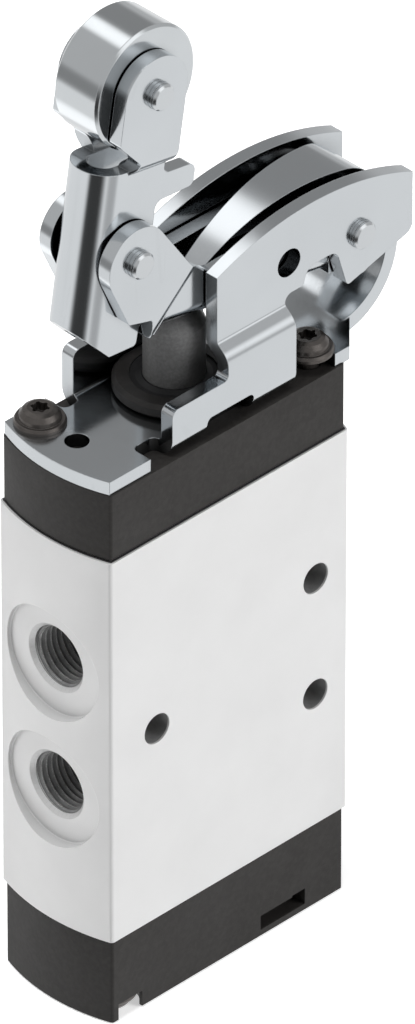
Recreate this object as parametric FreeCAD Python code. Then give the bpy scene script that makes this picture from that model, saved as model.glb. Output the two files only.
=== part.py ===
"""Roller lever air valve: a five-port spool valve worked by a lever with an idle-return roller.

Millimetres. +Z runs up the valve's axis from the underside of the bottom cap, which is the origin.
-X is the front, with two ports. +X is the rear, with three ports. +Y is across the thin body.
"""
import FreeCAD, Part
import os
from math import acos, asin, atan2, cos, degrees, pi, radians, sin, tan

# Valve body and caps
BODY_LENGTH = 42.0
BODY_WIDTH = 20.0
BODY_HEIGHT = 59.0
NOSE_BULGE = 1.7
BODY_EDGE_R = 0.6
CAP_INSET = 0.35
CAP_EDGE_R = 0.5
BOTTOM_CAP_H = 12.7
TOP_CAP_H = 9.8
GASKET = 0.3
GASKET_INSET = 1.0

# Through holes that fasten the valve to a panel
MOUNT_HOLE_D = 4.4
MOUNT_FRONT_X = 8.0 - BODY_LENGTH / 2
MOUNT_REAR_X = BODY_LENGTH / 2 - 5.7
MOUNT_FRONT_Z = BODY_HEIGHT / 2 + 0.1
MOUNT_REAR_PITCH = 18.1

# Threaded ports, given as the thread's minor diameter
PORT_D = 8.6
PORT_CHAMFER = 0.6
PORT_DEPTH = 8.0
SEAL_FROM_BOTTOM = 5.075
SEAL_FROM_TOP = 4.675
PORT_STEP = (BODY_HEIGHT - SEAL_FROM_BOTTOM - SEAL_FROM_TOP) / 5
PORT_MID_Z = SEAL_FROM_BOTTOM + 2.5 * PORT_STEP
SPOT_FACE_D = 16.4
DUCT_D = 5.0

# Screws
SCREW_D = 3.0
SCREW_CLEAR = 0.2
SCREW_FLANGE_D = 6.8
SCREW_HEAD_D = 5.6
SCREW_HEAD_H = 2.3
SCREW_FLANGE_H = 0.8
SCREW_GRIP = 6.0
SCREW_X = BODY_LENGTH / 2 - 3.5
SCREW_Y = BODY_WIDTH / 2 - 3.8
SOCKET_D = 2.5
POCKET_D = 7.2
POCKET_SLOT_W = 4.2
POCKET_DEPTH = 2.4

# Spool, seals and the cage that spaces them
BORE_D = 12.0
SPOOL_D = 6.9
SPOOL_WAIST_D = 4.8
SEAL_T = 2.0
SEAL_RUN = 0.05
SPACER_WALL = 1.6
SPACER_WINDOW = 3.4
SPOOL_TAIL = 1.0
CAP_FLOOR = 2.0
CAVITY_D = 10.4
SPRING_WIRE = 0.7
SPRING_COILS = 6

# Plunger and its guide
PLUNGER_D = 8.0
PLUNGER_DOME_R = 4.5
PLUNGER_FLANGE_D = 10.4
PLUNGER_FLANGE_T = 2.0
PLUNGER_TO_LEVER = 0.06
CAP_WEB_T = 1.0
RING_H = 2.1
RING_DISC_H = 0.95
RING_CHAMFER = 0.5
RING_NECK_D = 12.0
RING_NECK_L = 5.5
WIPER_D = 11.4
WIPER_H = 1.2
RUN = 0.05
FIT_GAP = 0.1

# Sheet metal frame: base plate, two side walls with cheeks, and the stop tongue
SHEET = 2.0
BEND_IN_R = 0.6
PLATE_HALF_W = BODY_WIDTH / 2 - 0.6
PLATE_FRONT_X = 0.4 - BODY_LENGTH / 2
PLATE_REAR_X = BODY_LENGTH / 2 + 0.8
PLATE_HOLE_D = 3.2
PLATE_HOLE_X = PLATE_FRONT_X + 3.5
WALL_HALF_W = PLATE_HALF_W - 0.1
WALL_REAR_X = SCREW_X - SCREW_FLANGE_D / 2 - 1.7
WALL_LOW_TOP = 5.2
WALL_LOW_TOP_FAR = 6.7
RELIEF_LENGTH = 3.9
RELIEF_Y = WALL_HALF_W - SHEET - BEND_IN_R - 0.7
RELIEF_FRONT_X = SCREW_FLANGE_D / 2 + 0.7 - SCREW_X
RELIEF_REAR_X = WALL_REAR_X + RELIEF_LENGTH
WALL_FRONT_X = RELIEF_FRONT_X + RELIEF_LENGTH
WALL_FRONT_FAR_X = WALL_FRONT_X - 1.1
RING_D = 2 * (WALL_HALF_W - SHEET + 0.6)
FOOT_SLOT_X0 = -3.3
FOOT_SLOT_X1 = 4.9
FOOT_SLOT_TOP = 1.05
JOGGLE_START = 6.9
JOGGLE_R = 1.8
JOGGLE_ANGLE = 50.0
CHEEK_HALF_W = 7.25
CHEEK_FRONT_X = 0.4
CHEEK_REAR_X = 35.1
CHEEK_CROWN_R = 43.0
CHEEK_CROWN_X = 17.3
CHEEK_TOP = 23.1
CHEEK_BELLY = 11.2
CHEEK_NOTCH_X0 = WALL_REAR_X + 3.2
CHEEK_NOTCH_X1 = 21.6
CHEEK_NOTCH_TOP = 13.6
CHEEK_HEEL_X = 23.5
CHEEK_HEEL = 7.4
CHEEK_TAIL = 10.3
CHEEK_HOLE_D = 4.0
CHEEK_HOLE_X = 13.1
CHEEK_HOLE_H = 15.9
TONGUE_ROOT_X = 24.5
TONGUE_HEEL_R = 9.8
TONGUE_LEAN = 29.6
TONGUE_RISE = 4.9
TONGUE_CROWN_R = 6.2
TONGUE_CROWN_ANGLE = 49.0
TONGUE_ARCH_R = 29.1
TONGUE_ARCH_ANGLE = 49.5
TONGUE_ROOT_HALF_W = 4.9
TONGUE_CROWN_HALF_W = 4.0
TONGUE_TIP_HALF_W = 1.5
TONGUE_CROWN_X = 30.0
TONGUE_TIP_X = 2.0
TONGUE_ENTRY_H = 12.0
PLATE_TAIL_X = TONGUE_ROOT_X + 1.9
PLATE_TAIL_Y = TONGUE_ROOT_HALF_W - 0.1

# Lever: a channel, open above, whose ears carry the roller bracket
PIVOT_X = 25.9
PIVOT_H = 14.2
PIVOT_D = 3.8
PIVOT_PROUD = 1.05
LEVER_TILT = 10.5
LEVER_HALF_W = 5.0
LEVER_BELOW_PIVOT = 6.1
LEVER_ABOVE_PIVOT = 4.55
LEVER_FRONT_X = -9.95
LEVER_SHOULDER_X = 1.8
LEVER_BEND_R = 0.5
EAR_HALF_W = 6.25
EAR_R = 5.0
EAR_CHIN_X = -14.0
EAR_CHIN_H = 19.1
EAR_HEM_H = 17.9
EAR_NAPE_X = -3.1
EAR_NAPE_H = 22.9
EAR_BEND_ANGLE = 42.0
EAR_BEND_X = -5.7
EAR_BEND_H = 18.9
EAR_BEND_R = 1.5
EAR_BEND_TURN = 35.0
LEG_FRONT_X = 25.4
LEG_REAR_X = 29.6
LEG_BOTTOM = 5.9
BRACKET_PIN_X = -12.4
BRACKET_PIN_H = 27.75
BRACKET_PIN_D = 3.7
BRACKET_PIN_PROUD = 1.2

# Roller bracket, sized upright about its pin and then leaned to the rear
BRACKET_LEAN = 9.2
BRACKET_HALF_W = 4.0
BRACKET_FOLD_R = 4.0
BRACKET_FRONT = 6.2
BRACKET_CHEEK_FRONT = 5.7
BRACKET_CHEEK_REAR = 5.1
BRACKET_NECK = 1.4
BRACKET_JAW_LOW = 14.1
BRACKET_JAW_HIGH = 17.8
BRACKET_REAR = 4.3
BRACKET_TAIL = 14.2
BRACKET_TAIL_REAR = 4.0
BRACKET_CHIN = 9.2
BRACKET_RIM = 12.3
BRACKET_JOGGLE = 11.6
BRACKET_JOGGLE_R = 1.5
BRACKET_JOGGLE_ANGLE = 50.0
BRACKET_CHEEK_HALF_W = 6.0
TAB_REACH = 10.8
TAB_TOP = 10.15
TAB_BOTTOM = 6.5
ROLLER_RISE = 23.67
ROLLER_D = 17.2
ROLLER_HALF_W = 3.8
ROLLER_CHAMFER = 0.35
ROLLER_PIN_D = 3.7
ROLLER_PIN_PROUD = 1.2
HAIRPIN_WIRE = 0.7
HAIRPIN_TURNS = 3.06
HAIRPIN_START = 18.0
HAIRPIN_UPPER_LEG = 7.6
HAIRPIN_LOWER_LEG = 11.3

# Moulded recess low on the bottom cap's near face
RECESS_X0 = 5.9
RECESS_X1 = 13.9
RECESS_Z0 = 0.9
RECESS_H = 2.2
RECESS_STEP_X = 11.6
RECESS_STEP_H = 0.25
RECESS_DEPTH = 2.4

# Levels and places that follow from the sizes above
BODY_Z = BOTTOM_CAP_H + GASKET
BODY_TOP = BODY_Z + BODY_HEIGHT
TOP_CAP_Z = BODY_TOP + GASKET
PLATE_Z = TOP_CAP_Z + TOP_CAP_H
PLATE_TOP = PLATE_Z + SHEET
PIVOT_Z = PLATE_TOP + PIVOT_H
BRACKET_PIN_Z = PLATE_TOP + BRACKET_PIN_H
PORT_FACE_X = BODY_LENGTH / 2
PORT_LEVELS = [BODY_Z + PORT_MID_Z + k * PORT_STEP for k in range(-2, 3)]
SEAL_LEVELS = [BODY_Z + PORT_MID_Z + (k - 2.5) * PORT_STEP for k in range(6)]
MOUNT_HOLES = [
    (MOUNT_FRONT_X, BODY_Z + MOUNT_FRONT_Z),
    (MOUNT_REAR_X, BODY_Z + MOUNT_FRONT_Z - MOUNT_REAR_PITCH / 2),
    (MOUNT_REAR_X, BODY_Z + MOUNT_FRONT_Z + MOUNT_REAR_PITCH / 2),
]
DOME_Z = (PIVOT_Z - LEVER_BELOW_PIVOT / cos(radians(LEVER_TILT)) + PIVOT_X * tan(radians(LEVER_TILT))
          - PLUNGER_DOME_R / cos(radians(LEVER_TILT)) - PLUNGER_TO_LEVER)
CAP_WEB_Z = PLATE_TOP - RING_NECK_L - FIT_GAP - CAP_WEB_T
FLANGE_Z = CAP_WEB_Z - FIT_GAP - PLUNGER_FLANGE_T
SPOOL_BOTTOM = BODY_Z - SPOOL_TAIL


def vec(x, y, z):
    return FreeCAD.Vector(x, y, z)


def in_xy(a, b):
    return vec(a, b, 0)


def in_xz(a, b):
    return vec(a, 0, b)


def in_yz(a, b):
    return vec(0, a, b)


def box(x0, x1, y0, y1, z0, z1):
    return Part.makeBox(x1 - x0, y1 - y0, z1 - z0, vec(x0, y0, z0))


def rod(diameter, start, end):
    """A cylinder from one point to another."""
    run = end - start
    return Part.makeCylinder(diameter / 2, run.Length, start, run)


def across(diameter, x, z, half_width):
    """A cylinder along Y through (x, z), as a pin or a pin hole."""
    return rod(diameter, vec(x, -half_width, z), vec(x, half_width, z))


def turned(profile, x=0.0, y=0.0):
    """A solid of revolution about a vertical axis, from (radius, height) corners."""
    points = [vec(x + r, y, z) for r, z in profile]
    face = Part.Face(Part.makePolygon(points + points[:1]))
    return face.revolve(vec(x, y, 0), vec(0, 0, 1), 360)


def rounded_outline(corners, plane):
    """A closed wire through corners (a, b, radius), each one rounded by an arc of its radius."""
    stops = []
    for i, (a, b, r) in enumerate(corners):
        here = vec(a, b, 0)
        back = (vec(*corners[i - 1][:2], 0) - here).normalize()
        ahead = (vec(*corners[(i + 1) % len(corners)][:2], 0) - here).normalize()
        if r == 0:
            stops.append((here,))
            continue
        half = back.getAngle(ahead) / 2
        reach = r / tan(half)
        middle = here + (back + ahead).normalize() * (r / sin(half) - r)
        stops.append((here + back * reach, middle, here + ahead * reach))
    edges = []
    for i, stop in enumerate(stops):
        points = [plane(p.x, p.y) for p in stop]
        following = stops[(i + 1) % len(stops)][0]
        if len(points) == 3:
            edges.append(Part.Arc(*points).toShape())
        after = plane(following.x, following.y)
        if (after - points[-1]).Length > 1e-6:
            edges.append(Part.LineSegment(points[-1], after).toShape())
    return Part.Wire(edges)


def plate_of(corners, plane, start, run):
    """A rounded outline made solid, from the offset start along the vector run."""
    face = Part.Face(rounded_outline(corners, plane))
    face.translate(start)
    return face.extrude(run)


def bent_strip(start, heading, steps, plane):
    """The section of a bent sheet, of one thickness, that follows lines and arcs at its middle.

    A step is (length, 0) for a straight run, or (radius, angle) for a bend, positive to the left.
    """
    sides = ([], [])
    point = vec(*start, 0)

    def normal(angle):
        return vec(-sin(radians(angle)), cos(radians(angle)), 0)

    def edge_points(places):
        for side, sign in zip(sides, (1, -1)):
            side.append([p + normal(h) * sign * SHEET / 2 for p, h in places])

    for size, turn in steps:
        if turn == 0:
            ahead = point + vec(cos(radians(heading)), sin(radians(heading)), 0) * size
            edge_points([(point, heading), (ahead, heading)])
            point = ahead
            continue
        hand = 1 if turn > 0 else -1
        centre = point + normal(heading) * size * hand
        middle = centre - normal(heading + turn / 2) * size * hand
        ahead = centre - normal(heading + turn) * size * hand
        edge_points([(point, heading), (middle, heading + turn / 2), (ahead, heading + turn)])
        point = ahead
        heading += turn
    left, right = sides
    ends = [[left[-1][-1], right[-1][-1]], [right[0][0], left[0][0]]]
    edges = []
    for points in left + right + ends:
        places = [plane(p.x, p.y) for p in points]
        curve = Part.LineSegment(*places) if len(places) == 2 else Part.Arc(*places)
        edges.append(curve.toShape())
    return Part.Face(Part.Wire(Part.__sortEdges__(edges)))


def joggle_steps(offset, radius, angle):
    """Two opposite bends, to the right and back, that shift a sheet sideways by offset.

    An offset too small for the full angle gets two gentler bends that meet without a straight run.
    """
    by_bends = 2 * radius * (1 - cos(radians(angle)))
    if offset <= by_bends:
        gentle = degrees(acos(1 - offset / (2 * radius)))
        return [(radius, -gentle), (radius, gentle)]
    straight = (offset - by_bends) / sin(radians(angle))
    return [(radius, -angle), (straight, 0), (radius, angle)]


def mirrored_y(shape):
    return shape.mirror(vec(0, 0, 0), vec(0, 1, 0))


def oblong(inset, z, height, edge_radius):
    """The body's outline, flat at the sides and bowed at both ends, as a block."""
    half_l = BODY_LENGTH / 2 - inset
    half_w = BODY_WIDTH / 2 - inset
    nose = half_l + NOSE_BULGE
    corners = [vec(-half_l, -half_w, z), vec(half_l, -half_w, z),
               vec(half_l, half_w, z), vec(-half_l, half_w, z)]
    edges = [
        Part.LineSegment(corners[0], corners[1]).toShape(),
        Part.Arc(corners[1], vec(nose, 0, z), corners[2]).toShape(),
        Part.LineSegment(corners[2], corners[3]).toShape(),
        Part.Arc(corners[3], vec(-nose, 0, z), corners[0]).toShape(),
    ]
    block = Part.Face(Part.Wire(edges)).extrude(vec(0, 0, height))
    upright = [e for e in block.Edges if len(e.Vertexes) == 2
               and abs(e.Vertexes[0].Z - e.Vertexes[1].Z) > height / 2]
    return block.makeFillet(edge_radius, upright) if edge_radius else block


def screw_places(turned_over):
    """Two screws on a diagonal; the lower pair sits on the other diagonal."""
    hand = -1 if turned_over else 1
    return [(SCREW_X, -SCREW_Y * hand), (-SCREW_X, SCREW_Y * hand)]


def port_cut(z, hand):
    """The cut of one port: a flat spot face, a chamfered thread bore and a duct to the spool."""
    face = PORT_FACE_X * hand
    inward = vec(-hand, 0, 0)
    spot = Part.makeCylinder(SPOT_FACE_D / 2, NOSE_BULGE * 2, vec(face, 0, z), vec(hand, 0, 0))
    thread = Part.makeCylinder(PORT_D / 2, PORT_DEPTH, vec(face, 0, z), inward)
    mouth = Part.makeCone(PORT_D / 2 + PORT_CHAMFER, PORT_D / 2, PORT_CHAMFER, vec(face, 0, z), inward)
    duct = Part.makeCylinder(DUCT_D / 2, BODY_LENGTH / 2, vec(face, 0, z), inward)
    return [spot, thread, mouth, duct]


def valve_housing():
    block = oblong(0.0, BODY_Z, BODY_HEIGHT, BODY_EDGE_R)
    cuts = [rod(BORE_D, vec(0, 0, BODY_Z), vec(0, 0, BODY_TOP))]
    for k, level in enumerate(PORT_LEVELS):
        cuts += port_cut(level, 1 if k % 2 == 0 else -1)
    cuts += [across(MOUNT_HOLE_D, x, z, BODY_WIDTH) for x, z in MOUNT_HOLES]
    thread = SCREW_D + 2 * RUN
    for x, y in screw_places(False):
        cuts.append(rod(thread, vec(x, y, BODY_TOP - SCREW_GRIP - FIT_GAP), vec(x, y, BODY_TOP)))
    for x, y in screw_places(True):
        cuts.append(rod(thread, vec(x, y, BODY_Z), vec(x, y, BODY_Z + SCREW_GRIP + FIT_GAP)))
    return block.cut(cuts)


def top_cap():
    block = oblong(CAP_INSET, TOP_CAP_Z, TOP_CAP_H, CAP_EDGE_R)
    cuts = [
        rod(RING_NECK_D + 2 * RUN, vec(0, 0, CAP_WEB_Z + CAP_WEB_T), vec(0, 0, PLATE_Z)),
        rod(PLUNGER_D + 4 * FIT_GAP, vec(0, 0, TOP_CAP_Z), vec(0, 0, PLATE_Z)),
        rod(PLUNGER_FLANGE_D + 6 * FIT_GAP, vec(0, 0, TOP_CAP_Z), vec(0, 0, CAP_WEB_Z)),
    ]
    for x, y in screw_places(False):
        cuts.append(rod(SCREW_D + 2 * SCREW_CLEAR, vec(x, y, TOP_CAP_Z), vec(x, y, PLATE_Z)))
    return block.cut(cuts)


def recess_cut():
    """The stepped moulded recess, open to the near face."""
    y0 = CAP_INSET - BODY_WIDTH / 2 - 1.0
    y1 = CAP_INSET - BODY_WIDTH / 2 + RECESS_DEPTH
    top = RECESS_Z0 + RECESS_H
    low = box(RECESS_X0, RECESS_X1, y0, y1, RECESS_Z0, top)
    step = box(RECESS_STEP_X, RECESS_X1, y0, y1, top, top + RECESS_STEP_H)
    return low.fuse(step)


def bottom_cap():
    block = oblong(CAP_INSET, 0.0, BOTTOM_CAP_H, CAP_EDGE_R)
    cuts = [rod(CAVITY_D, vec(0, 0, CAP_FLOOR), vec(0, 0, BOTTOM_CAP_H)), recess_cut()]
    for x, y in screw_places(True):
        cuts.append(rod(SCREW_D + 2 * SCREW_CLEAR, vec(x, y, 0), vec(x, y, BOTTOM_CAP_H)))
        cuts.append(rod(POCKET_D, vec(x, y, 0), vec(x, y, POCKET_DEPTH)))
        outer = y + (BODY_WIDTH if y > 0 else -BODY_WIDTH)
        half_slot = POCKET_SLOT_W / 2
        cuts.append(box(x - half_slot, x + half_slot, min(y, outer), max(y, outer), 0, POCKET_DEPTH))
    return block.cut(cuts)


def cap_gasket(z, turned_over):
    block = oblong(GASKET_INSET, z, GASKET, CAP_EDGE_R)
    cuts = [rod(BORE_D, vec(0, 0, z), vec(0, 0, z + GASKET))]
    for x, y in screw_places(turned_over):
        cuts.append(rod(SCREW_D + 2 * SCREW_CLEAR, vec(x, y, z), vec(x, y, z + GASKET)))
    return block.cut(cuts)


def wall_and_cheek(front_x, low_top):
    """The near side wall: up from the base plate, joggled inwards and on up as the cheek.

    Behind the notch the cheek hangs free of the wall, so its heel stays flat.
    """
    bend_r = BEND_IN_R + SHEET / 2
    foot = WALL_HALF_W - SHEET - BEND_IN_R
    steps = [(0.5, 0), (bend_r, -90), (JOGGLE_START - BEND_IN_R, 0)]
    steps += joggle_steps(WALL_HALF_W - CHEEK_HALF_W, JOGGLE_R, JOGGLE_ANGLE) + [(CHEEK_TOP, 0)]
    section = bent_strip((0.5 - foot, PLATE_Z + SHEET / 2), 180, steps, in_yz)
    section.translate(vec(front_x, 0, 0))
    up = PLATE_TOP
    heel_start = (CHEEK_NOTCH_X0 + CHEEK_NOTCH_X1) / 2
    wall = section.extrude(vec(heel_start - front_x, 0, 0))
    heel = box(heel_start, CHEEK_REAR_X, -CHEEK_HALF_W, SHEET - CHEEK_HALF_W, up, up + CHEEK_TOP)
    sheet = wall.fuse(heel)
    side = plate_of([
        (front_x, PLATE_Z - 1, 0),
        (WALL_REAR_X, PLATE_Z - 1, 0),
        (WALL_REAR_X, up + CHEEK_BELLY, 1.2),
        (CHEEK_NOTCH_X0, up + CHEEK_BELLY, 0.7),
        (CHEEK_NOTCH_X0 + 0.9, up + CHEEK_NOTCH_TOP, 1.6),
        (CHEEK_NOTCH_X1, up + CHEEK_NOTCH_TOP, 1.8),
        (CHEEK_HEEL_X, up + CHEEK_HEEL, 0.6),
        (CHEEK_REAR_X - 0.7, up + CHEEK_TAIL, 0.8),
        (CHEEK_REAR_X, up + CHEEK_TAIL + 0.9, 0.5),
        (CHEEK_REAR_X, up + 2 * CHEEK_TOP, 0),
        (CHEEK_FRONT_X, up + 2 * CHEEK_TOP, 0),
        (CHEEK_FRONT_X, up + low_top, 0.8),
        (front_x, up + low_top, 1.2),
    ], in_xz, vec(0, -BODY_WIDTH, 0), vec(0, BODY_WIDTH, 0))
    crown = across(2 * CHEEK_CROWN_R, CHEEK_CROWN_X, up + CHEEK_TOP - CHEEK_CROWN_R, BODY_WIDTH)
    slot = plate_of([
        (FOOT_SLOT_X0, PLATE_Z - 1, 0),
        (FOOT_SLOT_X1, PLATE_Z - 1, 0),
        (FOOT_SLOT_X1, up + FOOT_SLOT_TOP, 0.8),
        (FOOT_SLOT_X0, up + FOOT_SLOT_TOP, 0.8),
    ], in_xz, vec(0, -BODY_WIDTH, 0), vec(0, BODY_WIDTH, 0))
    return sheet.common(side).common(crown).cut(slot)


def side_reliefs(front_x):
    """Cuts on the +Y side of the plate: the wall's own place, a notch at each end and the foot slot."""
    fold_y = WALL_HALF_W - SHEET - BEND_IN_R
    cuts = [box(front_x, WALL_REAR_X, fold_y, BODY_WIDTH, -1, SHEET + 1)]
    for x0, x1 in ((RELIEF_FRONT_X, front_x), (WALL_REAR_X, RELIEF_REAR_X)):
        notch = [(x0, RELIEF_Y, 1.0), (x1, RELIEF_Y, 1.0), (x1, BODY_WIDTH, 0), (x0, BODY_WIDTH, 0)]
        cuts.append(plate_of(notch, in_xy, vec(0, 0, -1), vec(0, 0, SHEET + 2)))
    return cuts


def base_plate():
    """The flat of the frame, bowed in front like the body and cornered off at the rear."""
    half_w = PLATE_HALF_W
    outline = [vec(PLATE_FRONT_X, -half_w, 0), vec(PLATE_REAR_X, -half_w, 0),
               vec(PLATE_TAIL_X, -PLATE_TAIL_Y, 0), vec(PLATE_TAIL_X, PLATE_TAIL_Y, 0),
               vec(PLATE_REAR_X, half_w, 0), vec(PLATE_FRONT_X, half_w, 0)]
    edges = [Part.LineSegment(a, b).toShape() for a, b in zip(outline, outline[1:])]
    edges.append(Part.Arc(outline[-1], vec(PLATE_FRONT_X - NOSE_BULGE, 0, 0), outline[0]).toShape())
    blank = Part.Face(Part.Wire(edges)).extrude(vec(0, 0, SHEET))
    far = BODY_WIDTH
    near_cuts = side_reliefs(WALL_FRONT_X)
    cuts = [mirrored_y(cut) for cut in near_cuts] + side_reliefs(WALL_FRONT_FAR_X)
    for x, y in screw_places(False):
        half_slot = SCREW_D / 2 + SCREW_CLEAR
        outer = y + (far if y > 0 else -far)
        cuts.append(rod(2 * half_slot, vec(x, y, -1), vec(x, y, SHEET + 1)))
        cuts.append(box(x - half_slot, x + half_slot, min(y, outer), max(y, outer), -1, SHEET + 1))
    cuts.append(rod(PLATE_HOLE_D, vec(PLATE_HOLE_X, 0, -1), vec(PLATE_HOLE_X, 0, SHEET + 1)))
    cuts.append(rod(RING_NECK_D + 2 * FIT_GAP, vec(0, 0, -1), vec(0, 0, SHEET + 1)))
    plate = blank.cut(cuts)
    plate.translate(vec(0, 0, PLATE_Z))
    return plate


def tongue():
    """The tapered tongue that loops behind the pivot and arches forward as the lever's upper stop."""
    steps = [(1.0, 0), (TONGUE_HEEL_R, 90 + TONGUE_LEAN), (TONGUE_RISE, 0),
             (TONGUE_CROWN_R, TONGUE_CROWN_ANGLE), (TONGUE_ARCH_R, TONGUE_ARCH_ANGLE)]
    section = bent_strip((TONGUE_ROOT_X - 1.0, PLATE_Z + SHEET / 2), 0, steps, in_xz)
    section.translate(vec(0, -BODY_WIDTH / 2, 0))
    sheet = section.extrude(vec(0, BODY_WIDTH, 0))
    seam = PIVOT_Z + 2.0
    top = PLATE_TOP + 2 * CHEEK_TOP
    rear_taper = (TONGUE_ROOT_HALF_W - TONGUE_CROWN_HALF_W) / (seam - PLATE_TOP)
    foot = TONGUE_ROOT_HALF_W + rear_taper * 4
    crown = TONGUE_CROWN_HALF_W
    low = PLATE_TOP - 4
    rear = plate_of([(-foot, low, 0), (foot, low, 0), (crown, seam, 0), (-crown, seam, 0)],
                    in_yz, vec(TONGUE_ROOT_X - 1, 0, 0), vec(BODY_LENGTH, 0, 0))
    slope = (crown - TONGUE_TIP_HALF_W) / (TONGUE_CROWN_X - TONGUE_TIP_X)
    nose_x = TONGUE_TIP_X - 6
    nose = TONGUE_TIP_HALF_W - slope * 6
    far_x = TONGUE_CROWN_X + BODY_LENGTH
    arch = plate_of([(nose_x, -nose, 0), (TONGUE_CROWN_X, -crown, 0), (far_x, -crown, 0),
                     (far_x, crown, 0), (TONGUE_CROWN_X, crown, 0), (nose_x, nose, 0)],
                    in_xy, vec(0, 0, seam), vec(0, 0, top - seam))
    entry = PLATE_TOP + TONGUE_ENTRY_H
    reach = box(nose_x, TONGUE_ROOT_X + 4, -BODY_WIDTH, BODY_WIDTH, entry, seam)
    taper = plate_of([(nose_x, -nose, 0), (TONGUE_CROWN_X, -crown, 0),
                      (TONGUE_CROWN_X, crown, 0), (nose_x, nose, 0)],
                     in_xy, vec(0, 0, entry), vec(0, 0, top))
    front = sheet.common(taper).common(reach)
    return sheet.common(rear).fuse([sheet.common(arch), front])


def actuator_frame():
    near_side = wall_and_cheek(WALL_FRONT_X, WALL_LOW_TOP)
    far_side = mirrored_y(wall_and_cheek(WALL_FRONT_FAR_X, WALL_LOW_TOP_FAR))
    frame = base_plate().fuse([near_side, far_side, tongue()]).removeSplitter()
    holes = [across(PIVOT_D, PIVOT_X, PIVOT_Z, BODY_WIDTH),
             across(CHEEK_HOLE_D, CHEEK_HOLE_X, PLATE_TOP + CHEEK_HOLE_H, BODY_WIDTH)]
    near = box(-BODY_LENGTH, BODY_LENGTH, TONGUE_ROOT_HALF_W, BODY_WIDTH, 0, 2 * PIVOT_Z)
    sides = near.fuse(mirrored_y(near))
    return frame.cut([hole.common(sides) for hole in holes])


def pin(diameter, x, z, half_length):
    """A plain pin across the mechanism, with its ends broken by a small chamfer."""
    shape = across(diameter, x, z, half_length)
    rims = [e for e in shape.Edges if len(e.Vertexes) == 1]
    return shape.makeChamfer(0.3, rims)


def lever_side_view():
    """The lever's outline from the side, as a block across both walls."""
    up = PLATE_TOP
    slope = tan(radians(LEVER_TILT))
    underside = PIVOT_Z - LEVER_BELOW_PIVOT / cos(radians(LEVER_TILT))

    def belly(x):
        return underside + (PIVOT_X - x) * slope

    pin_x, pin_z = BRACKET_PIN_X, BRACKET_PIN_Z
    chin = vec(EAR_CHIN_X - pin_x, up + EAR_CHIN_H - pin_z, 0)
    nape = vec(EAR_NAPE_X - pin_x, up + EAR_NAPE_H - pin_z, 0)
    touch = []
    for corner, hand in ((chin, -1), (nape, 1)):
        angle = atan2(corner.y, corner.x) + hand * abs(pi / 2 - asin(EAR_R / corner.Length))
        touch.append(vec(pin_x + EAR_R * cos(angle), pin_z + EAR_R * sin(angle), 0))
    polygon = [
        (LEVER_FRONT_X, belly(LEVER_FRONT_X), 0.4),
        (LEVER_FRONT_X, up + EAR_HEM_H, 0.4),
        (EAR_CHIN_X, up + EAR_CHIN_H, 0.6),
        (touch[0].x, touch[0].y, 0),
        (touch[1].x, touch[1].y, 0),
        (EAR_NAPE_X, up + EAR_NAPE_H, 6.0),
        (LEVER_SHOULDER_X, PIVOT_Z + LEVER_ABOVE_PIVOT, 3.0),
        (PIVOT_X + LEVER_ABOVE_PIVOT, PIVOT_Z + LEVER_ABOVE_PIVOT, LEVER_ABOVE_PIVOT - 0.01),
        (PIVOT_X + LEVER_ABOVE_PIVOT, PIVOT_Z - 1.0, 0),
        (LEG_REAR_X, up + LEG_BOTTOM, 1.2),
        (LEG_FRONT_X, up + LEG_BOTTOM - 0.3, 0.6),
        (LEG_FRONT_X - 0.9, belly(LEG_FRONT_X - 0.9), 0),
    ]
    span = 4 * EAR_HALF_W
    block = plate_of(polygon, in_xz, vec(0, -span / 2, 0), vec(0, span, 0))
    return block.fuse(across(2 * EAR_R, pin_x, pin_z, span / 2))


def lever():
    """A channel of bent sheet; its front walls are set outwards as ears for the bracket."""
    view = lever_side_view()
    tilt = radians(LEVER_TILT)
    bend_r = LEVER_BEND_R + SHEET / 2
    middle = LEVER_HALF_W - SHEET / 2
    height = 2 * EAR_HALF_W + LEVER_BELOW_PIVOT
    steps = [(height, 0), (bend_r, 90), (2 * (middle - bend_r), 0), (bend_r, 90), (height, 0)]
    web_mid = -LEVER_BELOW_PIVOT + SHEET / 2
    section = bent_strip((-middle, web_mid + bend_r + height), 270, steps, in_yz)
    channel = section.extrude(vec(2 * BODY_LENGTH, 0, 0))
    channel.translate(vec(-1.5 * BODY_LENGTH, 0, 0))
    channel.rotate(vec(0, 0, 0), vec(0, 1, 0), LEVER_TILT)
    channel.translate(vec(PIVOT_X, 0, PIVOT_Z))
    bend = vec(EAR_BEND_X, 0, PLATE_TOP + EAR_BEND_H)
    along = radians(EAR_BEND_ANGLE)
    behind = box(-BODY_LENGTH * 2, BODY_LENGTH * 2, -BODY_WIDTH, BODY_WIDTH, -2 * BODY_LENGTH, 0)
    behind.rotate(vec(0, 0, 0), vec(0, 1, 0), -EAR_BEND_ANGLE)
    behind.translate(bend)
    past_front = box(LEVER_FRONT_X, BODY_LENGTH, -BODY_WIDTH, BODY_WIDTH, 0, 2 * PIVOT_Z)
    body = channel.common(view).common(behind).common(past_front)
    legs = leg_walls().common(view)
    ears = [ear_wall(bend, along).common(view).cut(behind_ears(bend))]
    ears.append(mirrored_y(ears[0]))
    whole = body.fuse([legs] + ears).removeSplitter()
    holes = [across(PIVOT_D + 2 * RUN, PIVOT_X, PIVOT_Z, BODY_WIDTH),
             across(BRACKET_PIN_D, BRACKET_PIN_X, BRACKET_PIN_Z, BODY_WIDTH)]
    return whole.cut(holes)


def leg_walls():
    """The two flat walls behind the web, which run down past it as legs."""
    start = LEG_FRONT_X - 3.0
    near = box(start, BODY_LENGTH, -LEVER_HALF_W, SHEET - LEVER_HALF_W, 0, 2 * PIVOT_Z)
    return near.fuse(mirrored_y(near))


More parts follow.
